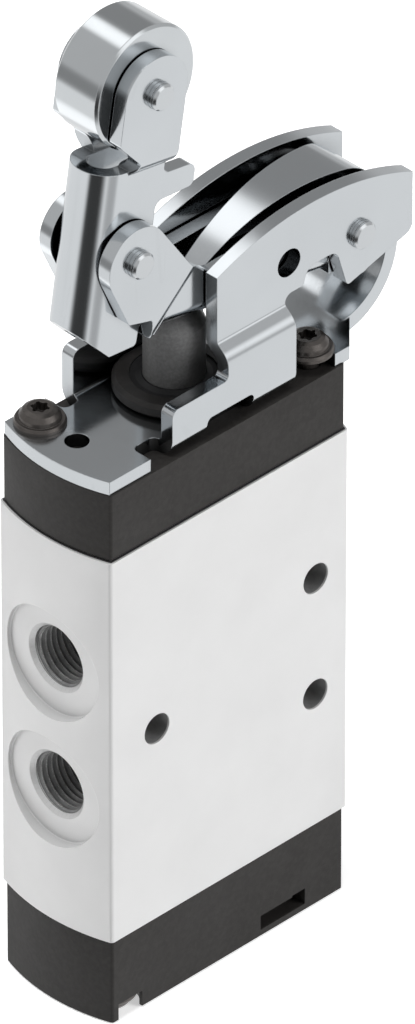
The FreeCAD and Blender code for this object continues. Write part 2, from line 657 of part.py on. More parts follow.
def ear_wall(bend, along):
    """The near ear: a sheet set outwards by a joggle along the slanted bend line."""
    offset = EAR_HALF_W - LEVER_HALF_W
    run = BODY_LENGTH
    straight = (offset - 2 * EAR_BEND_R * (1 - cos(radians(EAR_BEND_TURN)))) / sin(radians(EAR_BEND_TURN))
    half_joggle = EAR_BEND_R * sin(radians(EAR_BEND_TURN)) + straight / 2 * cos(radians(EAR_BEND_TURN))
    steps = [(run, 0)] + joggle_steps(offset, EAR_BEND_R, EAR_BEND_TURN) + [(run, 0)]
    start = (-run - half_joggle, SHEET / 2 - LEVER_HALF_W)
    section = bent_strip(start, 0, steps, in_xy)
    sheet = section.extrude(vec(0, 0, 2 * run))
    sheet.translate(vec(0, 0, -run))
    sheet.rotate(vec(0, 0, 0), vec(0, 1, 0), degrees(-along - pi / 2))
    sheet.translate(bend)
    return sheet


def behind_ears(bend):
    """What lies well behind the bend line, where the channel itself takes over from the ears."""
    block = box(-BODY_LENGTH * 2, BODY_LENGTH * 2, -BODY_WIDTH, BODY_WIDTH, -2 * BODY_LENGTH, -1.5)
    block.rotate(vec(0, 0, 0), vec(0, 1, 0), -EAR_BEND_ANGLE)
    block.translate(bend)
    return block


def set_on_bracket_pin(shape):
    """Lean a shape that was made upright about the bracket's pin, and put it in its place."""
    shape.rotate(vec(0, 0, 0), vec(0, 1, 0), BRACKET_LEAN)
    shape.translate(vec(BRACKET_PIN_X, 0, BRACKET_PIN_Z))
    return shape


def bracket_side_view():
    centre = (BRACKET_CHEEK_REAR - BRACKET_CHEEK_FRONT) / 2
    half = (BRACKET_CHEEK_REAR + BRACKET_CHEEK_FRONT) / 2
    top = ROLLER_RISE + half
    return plate_of([
        (BRACKET_TAIL_REAR, 0.3 - BRACKET_TAIL, 0.6),
        (-0.7, -BRACKET_TAIL, 0.5),
        (-BRACKET_FRONT - 0.8, -BRACKET_CHIN, 0),
        (-BRACKET_FRONT - 0.8, BRACKET_RIM, 0),
        (-BRACKET_NECK, BRACKET_RIM, 0),
        (-BRACKET_NECK, BRACKET_JAW_LOW, 0.8),
        (-BRACKET_CHEEK_FRONT, BRACKET_JAW_HIGH, 1.0),
        (centre - half, top, half - 0.01),
        (centre + half, top, half - 0.01),
        (BRACKET_CHEEK_REAR, TAB_TOP, 0.9),
        (TAB_REACH, TAB_TOP, 1.2),
        (TAB_REACH, TAB_BOTTOM + 0.4, 0.8),
        (BRACKET_REAR, TAB_BOTTOM - 0.1, 1.2),
        (BRACKET_REAR, -BRACKET_CHIN / 2, 3.0),
    ], in_xz, vec(0, -BODY_WIDTH / 2, 0), vec(0, BODY_WIDTH, 0))


def roller_bracket():
    """A folded channel below, whose walls are set outwards above to straddle the roller."""
    view = bracket_side_view()
    middle = BRACKET_HALF_W - SHEET / 2
    fold_r = BRACKET_FOLD_R - SHEET / 2
    fold_x = BRACKET_FRONT - BRACKET_FOLD_R
    run = TAB_REACH + fold_x + 2
    fold = bent_strip((run - fold_x, -middle), 180, [(run, 0), (fold_r, -180), (run, 0)], in_xy)
    fold.translate(vec(0, 0, -BRACKET_TAIL - 1))
    lower = fold.extrude(vec(0, 0, BRACKET_TAIL + 1 + BRACKET_RIM)).common(view)
    spread = joggle_steps(BRACKET_CHEEK_HALF_W - BRACKET_HALF_W, BRACKET_JOGGLE_R, BRACKET_JOGGLE_ANGLE)
    outwards = [(size, -turn) for size, turn in spread]
    rise = [(2.0, 0)] + outwards + [(ROLLER_RISE, 0)]
    wall = bent_strip((-middle, BRACKET_JOGGLE - 2.0), 90, rise, in_yz)
    wall.translate(vec(-BRACKET_FRONT, 0, 0))
    cheek = wall.extrude(vec(BRACKET_FRONT + TAB_REACH, 0, 0)).common(view)
    fold_side = box(-BODY_LENGTH, -BRACKET_NECK, -BODY_WIDTH, BODY_WIDTH, 0, BRACKET_RIM)
    cheek = cheek.cut(fold_side)
    body = lower.fuse([cheek, mirrored_y(cheek)]).removeSplitter()
    cuts = [across(BRACKET_PIN_D + 2 * RUN, 0, 0, BODY_WIDTH),
            across(ROLLER_PIN_D, 0, ROLLER_RISE, BODY_WIDTH)]
    return set_on_bracket_pin(body.cut(cuts))


def roller():
    half = ROLLER_HALF_W
    radius = ROLLER_D / 2
    bore = ROLLER_PIN_D / 2 + RUN
    c = ROLLER_CHAMFER
    profile = [(bore, -half), (radius - c, -half), (radius, c - half),
               (radius, half - c), (radius - c, half), (bore, half)]
    shape = turned(profile)
    shape.rotate(vec(0, 0, 0), vec(1, 0, 0), 90)
    shape.translate(vec(0, 0, ROLLER_RISE))
    return set_on_bracket_pin(shape)


def roller_pin():
    return set_on_bracket_pin(pin(ROLLER_PIN_D, 0, ROLLER_RISE, BRACKET_CHEEK_HALF_W + ROLLER_PIN_PROUD))


def bracket_pin():
    return pin(BRACKET_PIN_D, BRACKET_PIN_X, BRACKET_PIN_Z, EAR_HALF_W + BRACKET_PIN_PROUD)


def pivot_pin():
    return pin(PIVOT_D, PIVOT_X, PIVOT_Z, CHEEK_HALF_W + PIVOT_PROUD)


def coil(wire, mean_radius, pitch, turns):
    """A round-wire coil about +Z, rising from z = 0 at its middle line."""
    spine = Part.makeHelix(pitch, pitch * turns, mean_radius)
    ring = Part.Wire(Part.makeCircle(wire / 2, vec(mean_radius, 0, 0), vec(0, 1, 0)))
    return Part.Wire(spine).makePipeShell([ring], True, True)


def spring_leg(mean, side, angle, length):
    """A straight leg that leaves the coil at its tangent; a negative length leaves backwards."""
    a = radians(angle)
    foot = vec(mean * cos(a), side, mean * sin(a))
    return rod(HAIRPIN_WIRE, foot, foot + vec(-sin(a), 0, cos(a)) * length)


def hairpin_spring():
    """The torsion spring on the bracket's pin: one leg on the fold, the other on the lever."""
    mean = BRACKET_PIN_D / 2 + HAIRPIN_WIRE
    pitch = HAIRPIN_WIRE + FIT_GAP
    half = pitch * HAIRPIN_TURNS / 2
    winding = coil(HAIRPIN_WIRE, mean, pitch, HAIRPIN_TURNS)
    winding.translate(vec(0, 0, -half))
    winding.rotate(vec(0, 0, 0), vec(0, 0, 1), HAIRPIN_START)
    winding.rotate(vec(0, 0, 0), vec(1, 0, 0), 90)
    lower = spring_leg(mean, half, HAIRPIN_START, -HAIRPIN_LOWER_LEG)
    upper = spring_leg(mean, -half, HAIRPIN_START + 360 * HAIRPIN_TURNS, HAIRPIN_UPPER_LEG)
    return set_on_bracket_pin(winding.fuse([upper, lower]))


def guide_ring():
    """The ring nut that clamps the frame to the top cap and guides the plunger."""
    neck_z = PLATE_TOP - RING_NECK_L
    top = PLATE_TOP + RING_H
    radius = RING_D / 2
    bore = PLUNGER_D / 2 + RUN
    c = RING_CHAMFER
    profile = [(bore, neck_z), (RING_NECK_D / 2, neck_z), (RING_NECK_D / 2, PLATE_TOP),
               (radius - c, PLATE_TOP), (radius, PLATE_TOP + c), (radius, top - c), (radius - c, top),
               (WIPER_D / 2, top), (WIPER_D / 2, top - WIPER_H), (bore, top - WIPER_H)]
    ring = turned(profile)
    flat_y = WALL_HALF_W - SHEET - 1.5 * FIT_GAP
    flat = box(-radius, radius, flat_y, radius + 1, PLATE_TOP + RING_DISC_H, top + 1)
    return ring.cut([flat, mirrored_y(flat)])


def wiper_seal():
    top = PLATE_TOP + RING_H
    bore = PLUNGER_D / 2 + RUN
    return turned([(bore, top - WIPER_H), (WIPER_D / 2, top - WIPER_H), (WIPER_D / 2, top - 0.15),
                   (bore + 0.9, top - 0.15), (bore + 0.2, top + 0.15), (bore, top + 0.15)])


def plunger():
    """The push rod: a domed nose against the lever and a flange on the spool."""
    radius = PLUNGER_D / 2
    flange_r = PLUNGER_FLANGE_D / 2
    flange_top = FLANGE_Z + PLUNGER_FLANGE_T
    nose = DOME_Z + PLUNGER_DOME_R
    body = turned([(0, FLANGE_Z), (flange_r, FLANGE_Z), (flange_r, flange_top), (radius, flange_top),
                   (radius, nose), (0, nose)])
    dome = Part.makeSphere(PLUNGER_DOME_R, vec(0, 0, DOME_Z))
    below = rod(2 * PLUNGER_D, vec(0, 0, FLANGE_Z), vec(0, 0, DOME_Z))
    return body.common(dome.fuse(below))


def spool():
    """The sliding spool: full lands with three waists that join neighbouring ports."""
    land = SPOOL_D / 2
    waist = SPOOL_WAIST_D / 2
    seal = SEAL_LEVELS
    half_seal = SEAL_T / 2
    waists = [(seal[1] - half_seal - 1.4, seal[1] + half_seal + 1.4),
              (seal[2] + half_seal + 0.5, seal[3] + half_seal + 1.4),
              (seal[4] + half_seal + 0.5, seal[4] + half_seal + 4.9)]
    profile = [(0, SPOOL_BOTTOM), (land, SPOOL_BOTTOM)]
    for low, high in waists:
        ease = land - waist
        profile += [(land, low), (waist, low + ease / 2), (waist, high - ease / 2), (land, high)]
    profile += [(land, FLANGE_Z), (0, FLANGE_Z)]
    nib = turned([(0, SPOOL_BOTTOM - 2.0), (SPOOL_D / 4, SPOOL_BOTTOM - 2.0), (SPOOL_D / 4, SPOOL_BOTTOM),
                  (0, SPOOL_BOTTOM)])
    return turned(profile).fuse(nib).removeSplitter()


def spool_seals():
    inner = SPOOL_D / 2 + SEAL_RUN
    outer = BORE_D / 2
    half = SEAL_T / 2
    rings = [turned([(inner + 0.4, z - half), (outer, z - half), (outer, z + half), (inner + 0.4, z + half),
                     (inner, z + half / 2), (inner, z - half / 2)]) for z in SEAL_LEVELS]
    return Part.Compound(rings)


def spacer(low, high, windows):
    """One cage ring between two seals, with windows for the air where it faces a port."""
    outer = BORE_D / 2
    ring = turned([(outer - SPACER_WALL, low), (outer, low), (outer, high), (outer - SPACER_WALL, high)])
    if not windows:
        return ring
    middle = (low + high) / 2
    cut_x = rod(SPACER_WINDOW, vec(-outer - 1, 0, middle), vec(outer + 1, 0, middle))
    cut_y = rod(SPACER_WINDOW, vec(0, -outer - 1, middle), vec(0, outer + 1, middle))
    return ring.cut([cut_x, cut_y])


def cage_spacers():
    half = SEAL_T / 2
    return Part.Compound([spacer(low + half, high - half, True)
                          for low, high in zip(SEAL_LEVELS, SEAL_LEVELS[1:])])


def end_spacers():
    half = SEAL_T / 2
    return Part.Compound([spacer(BODY_Z, SEAL_LEVELS[0] - half, False),
                          spacer(SEAL_LEVELS[-1] + half, BODY_TOP, False)])


def return_spring():
    """The compression spring between the bottom cap's floor and the spool."""
    wire = SPRING_WIRE
    height = SPOOL_BOTTOM - CAP_FLOOR - wire
    mean = SPOOL_D / 2 - wire / 2
    spring = coil(wire, mean, height / SPRING_COILS, SPRING_COILS)
    spring.translate(vec(0, 0, CAP_FLOOR + wire / 2))
    return spring


def screw(x, y, z, length, hand):
    """A flanged pan head screw with a six-lobed socket; hand is 1 upright and -1 turned over."""
    head = SCREW_HEAD_D / 2
    shape = turned([(0, -length), (SCREW_D / 2, -length), (SCREW_D / 2, 0), (SCREW_FLANGE_D / 2, 0),
                    (SCREW_FLANGE_D / 2, SCREW_FLANGE_H / 2), (SCREW_FLANGE_D / 2 - 0.2, SCREW_FLANGE_H),
                    (head, SCREW_FLANGE_H), (head * 0.96, SCREW_HEAD_H * 0.6),
                    (head * 0.8, SCREW_HEAD_H * 0.87), (head * 0.6, SCREW_HEAD_H), (0, SCREW_HEAD_H)])
    depth = SCREW_HEAD_H * 0.55
    lobes = [rod(SOCKET_D * 0.8, vec(0, 0, SCREW_HEAD_H - depth), vec(0, 0, SCREW_HEAD_H + 1))]
    for k in range(6):
        around = k * pi / 3
        place = vec(SOCKET_D * 0.38 * cos(around), SOCKET_D * 0.38 * sin(around), SCREW_HEAD_H - depth)
        lobes.append(rod(SOCKET_D * 0.26, place, place + vec(0, 0, depth + 1)))
    shape = shape.cut(lobes)
    if hand < 0:
        shape.rotate(vec(0, 0, 0), vec(1, 0, 0), 180)
    shape.translate(vec(x, y, z))
    return shape


def frame_screws():
    length = SHEET + TOP_CAP_H + GASKET + SCREW_GRIP
    return Part.Compound([screw(x, y, PLATE_TOP, length, 1) for x, y in screw_places(False)])


def bottom_screws():
    length = BOTTOM_CAP_H - POCKET_DEPTH + GASKET + SCREW_GRIP
    return Part.Compound([screw(x, y, POCKET_DEPTH, length, -1) for x, y in screw_places(True)])


def save(name, shape):
    os.makedirs("parts", exist_ok=True)
    shape.exportStep(f"parts/{name}.step")
    low, high = shape.BoundBox.ZMin, shape.BoundBox.ZMax
    print(f"{name}: {len(shape.Solids)} solid(s), {len(shape.Faces)} faces, volume {shape.Volume:.1f}, "
          f"z {low:.2f} to {high:.2f}, valid {shape.isValid()}")


PIECES = {
    "valve_housing": valve_housing,
    "top_cap": top_cap,
    "bottom_cap": bottom_cap,
    "top_gasket": lambda: cap_gasket(BODY_TOP, False),
    "bottom_gasket": lambda: cap_gasket(BOTTOM_CAP_H, True),
    "actuator_frame": actuator_frame,
    "frame_screws": frame_screws,
    "bottom_screws": bottom_screws,
    "guide_ring": guide_ring,
    "wiper_seal": wiper_seal,
    "lever_pivot_pin": pivot_pin,
    "lever": lever,
    "bracket_pin": bracket_pin,
    "roller_bracket": roller_bracket,
    "bracket_spring": hairpin_spring,
    "roller_pin": roller_pin,
    "roller": roller,
    "plunger": plunger,
    "spool": spool,
    "spool_seals": spool_seals,
    "cage_spacers": cage_spacers,
    "end_spacers": end_spacers,
    "return_spring": return_spring,
}

if __name__ == "__main__":
    for name, make in PIECES.items():
        save(name, make())
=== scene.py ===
"""Looks of the roller lever air valve, built over its fixed CAD frame.

Every sub-assembly is a class that evens out the shading of its pieces, adds what the solids leave
out and dresses each piece. Sizes are in millimetres and are turned into metres where a mesh is made.
"""

import logging
import math
from dataclasses import dataclass, field
from enum import Enum

import bmesh
import bpy
from bmesh.types import BMesh
from bpy.types import Material, Mesh, Node, NodeSocket, NodeTree, Object
from mathutils import Matrix, Vector


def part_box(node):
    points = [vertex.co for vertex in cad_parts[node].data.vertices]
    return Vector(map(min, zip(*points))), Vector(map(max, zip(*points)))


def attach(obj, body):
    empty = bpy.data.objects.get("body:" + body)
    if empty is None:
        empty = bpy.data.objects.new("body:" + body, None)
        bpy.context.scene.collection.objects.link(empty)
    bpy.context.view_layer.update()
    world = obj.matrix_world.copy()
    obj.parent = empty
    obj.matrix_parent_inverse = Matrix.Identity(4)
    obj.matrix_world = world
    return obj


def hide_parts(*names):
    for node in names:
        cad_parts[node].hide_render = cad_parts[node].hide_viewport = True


LOG = logging.getLogger("roller_lever_valve")
MM = 0.001
SEAM_GAP = 0.002 * MM
LATHE_GAP = 0.0005 * MM
SMOOTH_TURN = 24.0
LATHE_TURN = 50.0
FLAT_TURN = 0.004
ROUND_STEPS = 64
Colour = tuple[float, float, float]

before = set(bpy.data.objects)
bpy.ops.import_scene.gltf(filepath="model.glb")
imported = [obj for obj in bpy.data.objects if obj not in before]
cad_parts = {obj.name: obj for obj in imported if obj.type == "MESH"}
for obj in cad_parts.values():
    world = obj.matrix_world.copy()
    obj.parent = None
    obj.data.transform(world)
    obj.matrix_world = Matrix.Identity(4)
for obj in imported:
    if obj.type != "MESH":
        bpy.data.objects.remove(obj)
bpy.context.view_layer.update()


class Body(Enum):
    """The moving bodies of the CAD frame."""

    VALVE = "valve"
    PUSH_ROD = "push_rod"
    LEVER = "lever"
    BRACKET = "bracket"
    ROLLER = "roller"


class Slot(Enum):
    """The material slots."""

    HOUSING = "housing"
    CAP = "cap"
    SHEET = "sheet_metal"
    SCREW = "dark_screw"
    GUIDE = "guide"
    PUSH_ROD = "push_rod"
    RUBBER = "rubber"
    PIN = "pin_steel"
    ROLLER = "roller_steel"
    SPOOL = "spool_metal"
    CAGE = "cage"
    SPRING = "spring_steel"


class Axis(Enum):
    """The direction in which a grain or a turned groove runs."""

    X = 0
    Y = 1
    Z = 2


# Shader node groups


def new_group(name: str, inputs: dict[str, float], outputs: tuple[str, ...],
              vectors: tuple[str, ...] = ()) -> NodeTree:
    """Make an empty shader node group.

    Args:
        name: The group's name.
        inputs: Each number input's name and its default value.
        outputs: The names of the number outputs.
        vectors: The names of the vector outputs.

    Returns:
        The new group, with its input and output nodes in place.
    """
    group = bpy.data.node_groups.new(name, "ShaderNodeTree")
    for label, value in inputs.items():
        socket = group.interface.new_socket(label, in_out="INPUT", socket_type="NodeSocketFloat")
        socket.default_value = value
    for label in outputs:
        group.interface.new_socket(label, in_out="OUTPUT", socket_type="NodeSocketFloat")
    for label in vectors:
        group.interface.new_socket(label, in_out="OUTPUT", socket_type="NodeSocketVector")
    group.nodes.new("NodeGroupInput").name = "In"
    group.nodes.new("NodeGroupOutput").name = "Out"
    return group


def own_points(tree: NodeTree) -> NodeSocket:
    """Return the piece's own coordinates, which move with it."""
    return tree.nodes.new("ShaderNodeTexCoord").outputs["Object"]


def noise(tree: NodeTree, vector: NodeSocket, detail: float) -> Node:
    """Add a noise texture read at a given point.

    Args:
        tree: The tree that gets the node.
        vector: The point that the noise is read at.
        detail: How many finer layers the noise has.

    Returns:
        The noise node.
    """
    node = tree.nodes.new("ShaderNodeTexNoise")
    node.inputs["Detail"].default_value = detail
    node.inputs["Roughness"].default_value = 0.55
    tree.links.new(vector, node.inputs["Vector"])
    return node


def number(tree: NodeTree, operation: str, first: object, second: object) -> NodeSocket:
    """Add a math node.

    Args:
        tree: The tree that gets the node.
        operation: The math node's operation.
        first: A socket or a plain number.
        second: A socket or a plain number.

    Returns:
        The result's socket.
    """
    node = tree.nodes.new("ShaderNodeMath")
    node.operation = operation
    for socket, value in zip(node.inputs, (first, second)):
        if isinstance(value, NodeSocket):
            tree.links.new(value, socket)
        else:
            socket.default_value = value
    return node.outputs[0]


def grain_group() -> NodeTree:
    """Build the fine isotropic grain of moulded or blasted surfaces.

    Returns:
        A group with a height and a slow mottle mask.
    """
    group = new_group("FineGrain", {"Scale": 1500.0, "Mottle Scale": 60.0}, ("Height", "Mottle"))
    source, sink = group.nodes["In"], group.nodes["Out"]
    place = own_points(group)
    fine = noise(group, place, 2.0)
    slow = noise(group, place, 3.0)
    group.links.new(source.outputs["Scale"], fine.inputs["Scale"])
    group.links.new(source.outputs["Mottle Scale"], slow.inputs["Scale"])
    group.links.new(fine.outputs["Fac"], sink.inputs["Height"])
    group.links.new(slow.outputs["Fac"], sink.inputs["Mottle"])
    return group


def streak_group(axis: Axis) -> NodeTree:
    """Build the long fine streaks that rolling or drawing leaves along one direction.

    Args:
        axis: The direction in which the streaks run.

    Returns:
        A group with a streak height and a smudge mask.
    """
    inputs = {"Scale": 900.0, "Smudge Scale": 45.0}
    group = new_group("Streaks" + axis.name, inputs, ("Height", "Smudge"))
    source, sink = group.nodes["In"], group.nodes["Out"]
    place = own_points(group)
    stretch = group.nodes.new("ShaderNodeMapping")
    scale = [1.0, 1.0, 1.0]
    scale[axis.value] = 0.03
    stretch.inputs["Scale"].default_value = scale
    group.links.new(place, stretch.inputs["Vector"])
    lines = noise(group, stretch.outputs["Vector"], 3.0)
    smudge = noise(group, place, 4.0)
    group.links.new(source.outputs["Scale"], lines.inputs["Scale"])
    group.links.new(source.outputs["Smudge Scale"], smudge.inputs["Scale"])
    group.links.new(lines.outputs["Fac"], sink.inputs["Height"])
    group.links.new(smudge.outputs["Fac"], sink.inputs["Smudge"])
    return group


def edge_group() -> NodeTree:
    """Build broken edges: a normal that rounds them and a mask where they are rubbed, which the body also
    uses for a painted edge highlight.

    Returns:
        A group with the mask, broken up by noise, and the rounded normal.
    """
    group = new_group("BrokenEdges", {"Radius": 0.15 * MM, "Scale": 260.0}, ("Mask",), ("Normal",))
    source, sink = group.nodes["In"], group.nodes["Out"]
    rounded = group.nodes.new("ShaderNodeBevel")
    rounded.samples = 6
    group.links.new(source.outputs["Radius"], rounded.inputs["Radius"])
    flat = group.nodes.new("ShaderNodeNewGeometry").outputs["Normal"]
    both = group.nodes.new("ShaderNodeVectorMath")
    both.operation = "DOT_PRODUCT"
    group.links.new(rounded.outputs["Normal"], both.inputs[0])
    group.links.new(flat, both.inputs[1])
    turned_away = number(group, "SUBTRACT", 0.995, both.outputs["Value"])
    strong = number(group, "MULTIPLY", turned_away, 9.0)
    place = own_points(group)
    broken = noise(group, place, 4.0)
    group.links.new(source.outputs["Scale"], broken.inputs["Scale"])
    clamp = group.nodes.new("ShaderNodeClamp")
    group.links.new(number(group, "MULTIPLY", strong, broken.outputs["Fac"]), clamp.inputs["Value"])
    group.links.new(clamp.outputs["Result"], sink.inputs["Mask"])
    group.links.new(rounded.outputs["Normal"], sink.inputs["Normal"])
    return group


def painted_shade_group() -> NodeTree:
    """Build painted shade for closed-in places, where light hardly reaches.

    Returns:
        A group whose mask is 1 in the open and 0 deep between two faces.
    """
    group = new_group("PaintedShadeInClosedPlaces", {"Reach": 6.0 * MM, "Low": 0.22, "High": 0.72}, ("Mask",))
    source, sink = group.nodes["In"], group.nodes["Out"]
    # ambient occlusion, read as painted shade for the colour
    shade = group.nodes.new("ShaderNodeAmbientOcclusion")
    shade.samples = 8
    group.links.new(source.outputs["Reach"], shade.inputs["Distance"])
    share = group.nodes.new("ShaderNodeMapRange")
    share.interpolation_type = "SMOOTHSTEP"
    group.links.new(shade.outputs["AO"], share.inputs["Value"])
    group.links.new(source.outputs["Low"], share.inputs["From Min"])
    group.links.new(source.outputs["High"], share.inputs["From Max"])
    group.links.new(share.outputs["Result"], sink.inputs["Mask"])
    return group


def scratch_group() -> NodeTree:
    """Build sparse hair scratches that handling leaves on bright parts.

    Returns:
        A group whose mask is 1 in a scratch.
    """
    group = new_group("HairScratches", {"Scale": 140.0, "Width": 0.012}, ("Mask",))
    source, sink = group.nodes["In"], group.nodes["Out"]
    place = own_points(group)
    stretch = group.nodes.new("ShaderNodeMapping")
    stretch.inputs["Scale"].default_value = (1.0, 0.6, 0.12)
    stretch.inputs["Rotation"].default_value = (0.3, 0.7, 0.5)
    group.links.new(place, stretch.inputs["Vector"])
    cells = group.nodes.new("ShaderNodeTexVoronoi")
    cells.feature = "DISTANCE_TO_EDGE"
    group.links.new(stretch.outputs["Vector"], cells.inputs["Vector"])
    group.links.new(source.outputs["Scale"], cells.inputs["Scale"])
    inside = number(group, "LESS_THAN", cells.outputs["Distance"], source.outputs["Width"])
    thin = noise(group, place, 2.0)
    thin.inputs["Scale"].default_value = 70.0
    some = number(group, "GREATER_THAN", thin.outputs["Fac"], 0.56)
    group.links.new(number(group, "MULTIPLY", inside, some), sink.inputs["Mask"])
    return group


class GroupShelf:
    """Keeps each shared shader node group once."""

    def __init__(self) -> None:
        """Build every shared group."""
        self.grain = grain_group()
        self.edges = edge_group()
        self.scratch = scratch_group()
        self.corners = painted_shade_group()
        self.streaks = {axis: streak_group(axis) for axis in Axis}


class MaterialBench:
    """A material under construction: one Principled shader and the groups that feed it."""

    def __init__(self, name: str, colour: Colour) -> None:
        """Start a material.

        Args:
            name: The material's name.
            colour: Its plain base colour, linear.
        """
        self.material = bpy.data.materials.new(name)
        self.material.use_nodes = True
        self.tree = self.material.node_tree
        self.shader = self.tree.nodes["Principled BSDF"]
        self.shader.inputs["Base Color"].default_value = (*colour, 1.0)

    def plain(self, **values: float) -> None:
        """Set numbers on the shader's own sockets, with underscores for spaces."""
        for label, value in values.items():
            socket = label.replace("_", " ").title().replace("Ior", "IOR")
            self.shader.inputs[socket].default_value = value

    def use(self, group: NodeTree, **values: float) -> Node:
        """Place a shared group with this material's own values.

        Args:
            group: The shared group.
            **values: Input values, with underscores for spaces.

        Returns:
            The group's node.
        """
        node = self.tree.nodes.new("ShaderNodeGroup")
        node.node_tree = group
        for label, value in values.items():
            node.inputs[label.replace("_", " ").title()].default_value = value
        return node

    def spread(self, mask: NodeSocket, low: float, high: float,
               start: float = 0.3, end: float = 0.7) -> NodeSocket:
        """Turn a mask into a range of values.

        Args:
            mask: The mask's socket.
            low: The value where the mask is at its start.
            high: The value where the mask is at its end.
            start: The mask's value that gives the low one.
            end: The mask's value that gives the high one.

        Returns:
            The value's socket.
        """
        node = self.tree.nodes.new("ShaderNodeMapRange")
        node.inputs["From Min"].default_value = start
        node.inputs["From Max"].default_value = end
        node.inputs["To Min"].default_value = low
        node.inputs["To Max"].default_value = high
        self.tree.links.new(mask, node.inputs["Value"])
        return node.outputs["Result"]

    def blend(self, mask: NodeSocket, first: object, second: object) -> NodeSocket:
        """Mix two colours by a mask.

        Args:
            mask: Where the second colour shows.
            first: A colour or a colour socket.
            second: A colour or a colour socket.

        Returns:
            The mixed colour's socket.
        """
        node = self.tree.nodes.new("ShaderNodeMix")
        node.data_type = "RGBA"
        self.tree.links.new(mask, node.inputs["Factor"])
        for label, value in (("A", first), ("B", second)):
            socket = [s for s in node.inputs if s.name == label and s.type == "RGBA"][0]
            if isinstance(value, NodeSocket):
                self.tree.links.new(value, socket)
            else:
                socket.default_value = (*value, 1.0)
        return [s for s in node.outputs if s.type == "RGBA"][0]

    def bump(self, height: NodeSocket, strength: float, distance: float, base: NodeSocket) -> None:
        """Feed a height to the shader's normal.

        Args:
            height: The height's socket.
            strength: How strong the bump is.
            distance: The bump's depth in millimetres.
            base: The normal that the bump starts from.
        """
        node = self.tree.nodes.new("ShaderNodeBump")
        node.inputs["Strength"].default_value = strength
        node.inputs["Distance"].default_value = distance * MM
        self.tree.links.new(height, node.inputs["Height"])
        self.tree.links.new(base, node.inputs["Normal"])
        self.tree.links.new(node.outputs["Normal"], self.shader.inputs["Normal"])

    def feed(self, label: str, value: NodeSocket) -> None:
        """Link a socket to one of the shader's inputs."""
        self.tree.links.new(value, self.shader.inputs[label])


def scaled(colour: Colour, factor: float) -> Colour:
    """Return a colour made lighter or darker by a factor."""
    return tuple(min(1.0, c * factor) for c in colour)


@dataclass(frozen=True)
class BrightMetal:
    """Polished or ground bare metal, with faint streaks, smudges and hair scratches, and painted shade in
    closed-in places where shade is set.
    """

    name: str
    colour: Colour
    gloss_low: float
    gloss_high: float
    grain: Axis
    streak_scale: float = 900.0
    streak_depth: float = 0.002
    scratches: float = 0.1
    edge_radius: float = 0.15
    # shade: how much darker closed-in places are painted, as painted shade
    shade: float = 0.0
    reach: float = 7.0
    smudge_scale: float = 55.0
    smudged: float = 0.95
    scratched: float = 0.6
    streak_strength: float = 0.25

    def make(self, shelf: GroupShelf) -> Material:
        """Build the material.

        Args:
            shelf: The shared shader groups.

        Returns:
            The material.
        """
        bench = MaterialBench(self.name, self.colour)
        bench.plain(metallic=1.0, roughness=self.gloss_low)
        streaks = bench.use(shelf.streaks[self.grain], scale=self.streak_scale,
                            smudge_scale=self.smudge_scale)
        scratch = bench.use(shelf.scratch)
        edges = bench.use(shelf.edges, radius=self.edge_radius * MM)
        smudge = bench.spread(streaks.outputs["Smudge"], 0.0, 1.0)
        tint = bench.blend(smudge, self.colour, scaled(self.colour, self.smudged))
        marks = bench.spread(scratch.outputs["Mask"], 0.0, self.scratches, 0.0, 1.0)
        marked = bench.blend(marks, tint, scaled(self.colour, self.scratched))
        # painted shade: closed-in places are darkened in the colour
        if self.shade:
            corners = bench.use(shelf.corners, reach=self.reach * MM)
            marked = bench.blend(corners.outputs["Mask"], scaled(self.colour, 1.0 - self.shade), marked)
        bench.feed("Base Color", marked)
        bench.feed("Roughness", bench.spread(streaks.outputs["Smudge"], self.gloss_low, self.gloss_high))
        bench.bump(streaks.outputs["Height"], self.streak_strength, self.streak_depth,
                   edges.outputs["Normal"])
        return bench.material


@dataclass(frozen=True)
class BlastedAluminium:
    """The near-white anodised body: blasted very fine, with painted shade in closed-in places and rubbed
    edges painted lighter, which also serves as a painted edge highlight.
    """

    name: str
    colour: Colour
    metal_share: float = 0.42
    gloss: float = 0.42
    gloss_low: float = 0.38
    gloss_high: float = 0.47
    edge_radius: float = 0.14
    reach: float = 2.2
    mottled: float = 0.965
    # shaded: the colour's share left in closed-in places, as painted shade
    shaded: float = 0.72
    # rubbed: how much lighter the edges are painted, for rubbed wear and as a painted edge highlight
    rubbed: float = 1.22

    def make(self, shelf: GroupShelf) -> Material:
        """Build the material.

        Args:
            shelf: The shared shader groups.

        Returns:
            The material.
        """
        bench = MaterialBench(self.name, self.colour)
        bench.plain(metallic=self.metal_share, roughness=self.gloss)
        grain = bench.use(shelf.grain, scale=3800.0, mottle_scale=90.0)
        wear = bench.use(shelf.edges, radius=self.edge_radius * MM)
        mottle = bench.spread(grain.outputs["Mottle"], 0.0, 1.0)
        tint = bench.blend(mottle, self.colour, scaled(self.colour, self.mottled))
        # painted shade in closed-in places
        corners = bench.use(shelf.corners, reach=self.reach * MM, low=0.3, high=0.75)
        shaded = bench.blend(corners.outputs["Mask"], scaled(self.colour, self.shaded), tint)
        # edges painted lighter: rubbed wear and a painted edge highlight
        rubbed_and_highlit_edge = scaled(self.colour, self.rubbed)
        bench.feed("Base Color", bench.blend(wear.outputs["Mask"], shaded, rubbed_and_highlit_edge))
        bench.feed("Roughness", bench.spread(grain.outputs["Mottle"], self.gloss_low, self.gloss_high))
        bench.bump(grain.outputs["Height"], 0.35, 0.012, wear.outputs["Normal"])
        return bench.material


